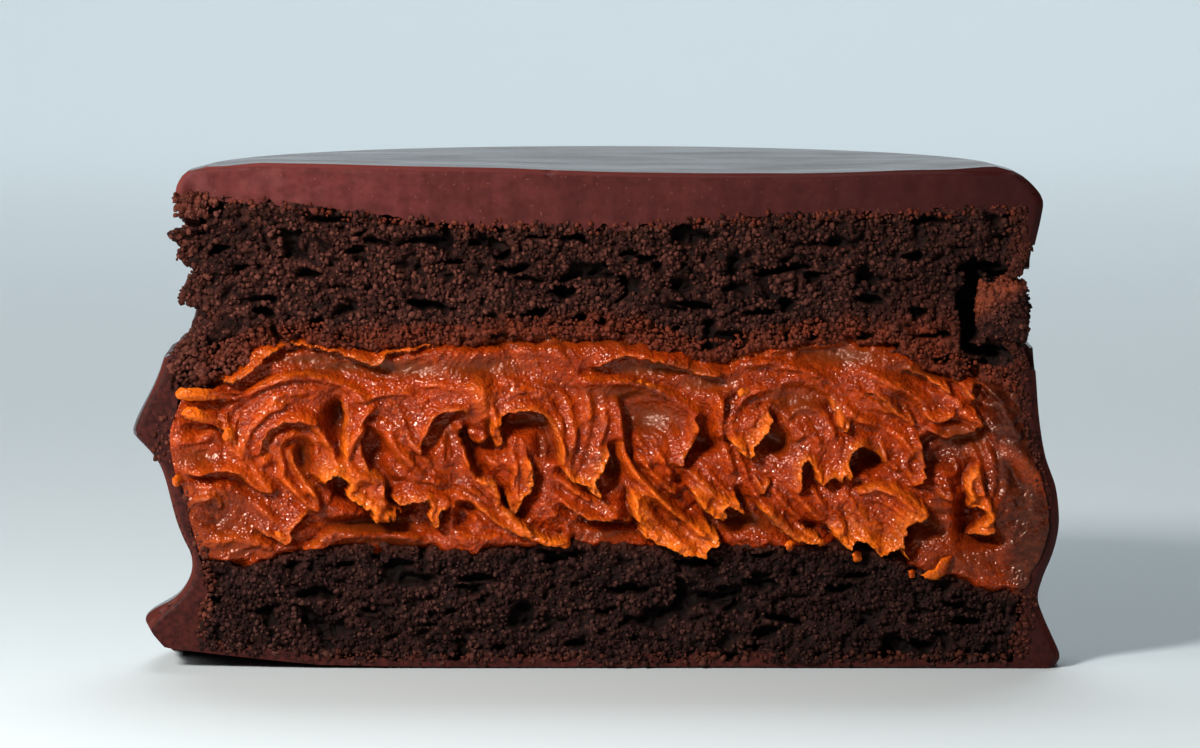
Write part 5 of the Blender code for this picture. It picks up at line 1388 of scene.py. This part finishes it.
def build():
    top_crumb = crumb_material(
        "top_cookie_crumb", (0.012, 0.0036, 0.0026), (0.054, 0.0150, 0.0105), (0.130, 0.040, 0.028), (0.175, 0.028, 0.010)
    )
    base_crumb = crumb_material(
        "base_cookie_crumb", (0.008, 0.0028, 0.0022), (0.029, 0.0090, 0.0072), (0.074, 0.027, 0.021), (0.090, 0.020, 0.010)
    )
    coating(chocolate_material())
    top = cookie(
        "top_cookie_crumb", "top_cookie", "cookie", top_crumb,
        lambda x: FILLING_TOP(x) - 1.2, lambda x: SLAB_UNDERSIDE(x) + 0.3,
        540, 96, (13.0, 10.0), 201, TOP_TEARS, near_filling_top, BARE_CRUMB_LEFT,
    )
    base = cookie(
        "bottom_cookie_crumb", "bottom_cookie", "base_cookie", base_crumb,
        lambda x: 0.35 + BASE_RISE(x), lambda x: FILLING_BOTTOM(x) + 0.8,
        540, 68, (1.5, 1.5), 301, BOTTOM_TEARS, near_filling_bottom, COAT_INSIDE_LEFT,
    )
    soft = caramel_material()
    caramel(soft)
    flakes(soft)
    # The loose crumb's red colour is painted light on the block's lit face.
    loose_block(crumb_material(
        "loose_crumb", (0.010, 0.0030, 0.0022), (0.044, 0.0115, 0.0080), (0.110, 0.032, 0.022), (0.220, 0.044, 0.018), 0.0
    ))

    points, way, pore, _ = top
    bare_side = (points[..., 1] < np.where(points[..., 0] < 0.0, 10.5, 7.0)) & (points[..., 2] > 18.5) & (points[..., 2] < 31.0)
    open_top = (pore < 0.45) & (points[..., 2] > FILLING_TOP(points[..., 0]) - 0.4)
    open_top &= (way[..., 1] < -0.9) | bare_side
    centres, red = packed(top, open_top, 2.9, 11)
    grains(
        "top_crumb_grains", "cookie",
        (
            (centres, 0.12, 0.25, red),
            (border_line(SLAB_UNDERSIDE, -28.5, 28.5, 420, 0.22, 14), 0.1, 0.25, 0.6),
            (border_line(lambda x: 20.6 + 0.3 * (x + 29.4), -30.1, -27.6, 150, 0.9, 16, 0.1), 0.14, 0.34, 0.15),
            (border_line(lambda x: 16.0 + 0 * x, -31.2, -29.8, 50, 0.9, 17), 0.1, 0.24, 0.3),
        ),
        top_crumb,
    )
    grains(
        "edge_crumb_grains", "cookie",
        (
            (border_line(lambda x: FILLING_TOP(x) + 0.9, -24.5, 28.0, 560, 0.3, 18), 0.1, 0.24, 0.9),
            (border_line(lambda x: 21.2 + 0.35 * (x + 27.4), -28.2, -24.6, 240, 0.7, 19, 0.1), 0.12, 0.3, 0.5),
            (side_line(lambda z: COAT_INSIDE_RIGHT(z) + 0.05, 11.0, 21.6, 420, 0.35, 20), 0.1, 0.24, 0.35),
            (side_line(lambda z: COAT_INSIDE_RIGHT(z) - 0.1, 28.2, 32.2, 170, 0.35, 21), 0.1, 0.26, 0.2),
            (side_line(lambda z: 28.3 + 0.4 * (z - 27.4), 27.35, 29.6, 210, 0.24, 26), 0.12, 0.26, 0.2),
            (side_line(lambda z: 28.9 - 0.8 * (z - 21.6), 21.6, 22.7, 130, 0.2, 27), 0.12, 0.24, 0.2),
            (side_line(lambda z: 0.25 - COAT_INSIDE_LEFT(z), 2.0, 14.5, 260, 0.25, 22), 0.1, 0.22, 0.3),
            (side_line(lambda z: 0.0 * z - 28.5, 31.5, 33.1, 170, 0.65, 23), 0.12, 0.28, 0.3),
            (side_line(lambda z: COAT_INSIDE_RIGHT(z) + 0.3, 0.8, 5.5, 150, 0.35, 25), 0.1, 0.24, 0.2),
            (side_line(lambda z: 0.45 - BARE_CRUMB_LEFT(z), 21.8, 30.8, 330, 0.3, 24), 0.12, 0.3, 0.15),
        ),
        top_crumb,
    )
    points, way, pore, _ = base
    open_base = (pore < 0.45) & (points[..., 2] < FILLING_BOTTOM(points[..., 0]) + 0.2) & (way[..., 1] < -0.8)
    centres, red = packed(base, open_base, 2.8, 13)
    grains(
        "base_crumb_grains", "base_cookie",
        (
            (centres, 0.11, 0.23, red),
            (border_line(lambda x: 0.75 + BASE_RISE(x), -27.5, 28.0, 420, 0.22, 15), 0.1, 0.26, 0.7),
        ),
        base_crumb,
    )
    stage()
    lights()
    surroundings()
    camera()
    bpy.context.scene.view_settings.view_transform = "Standard"


build()
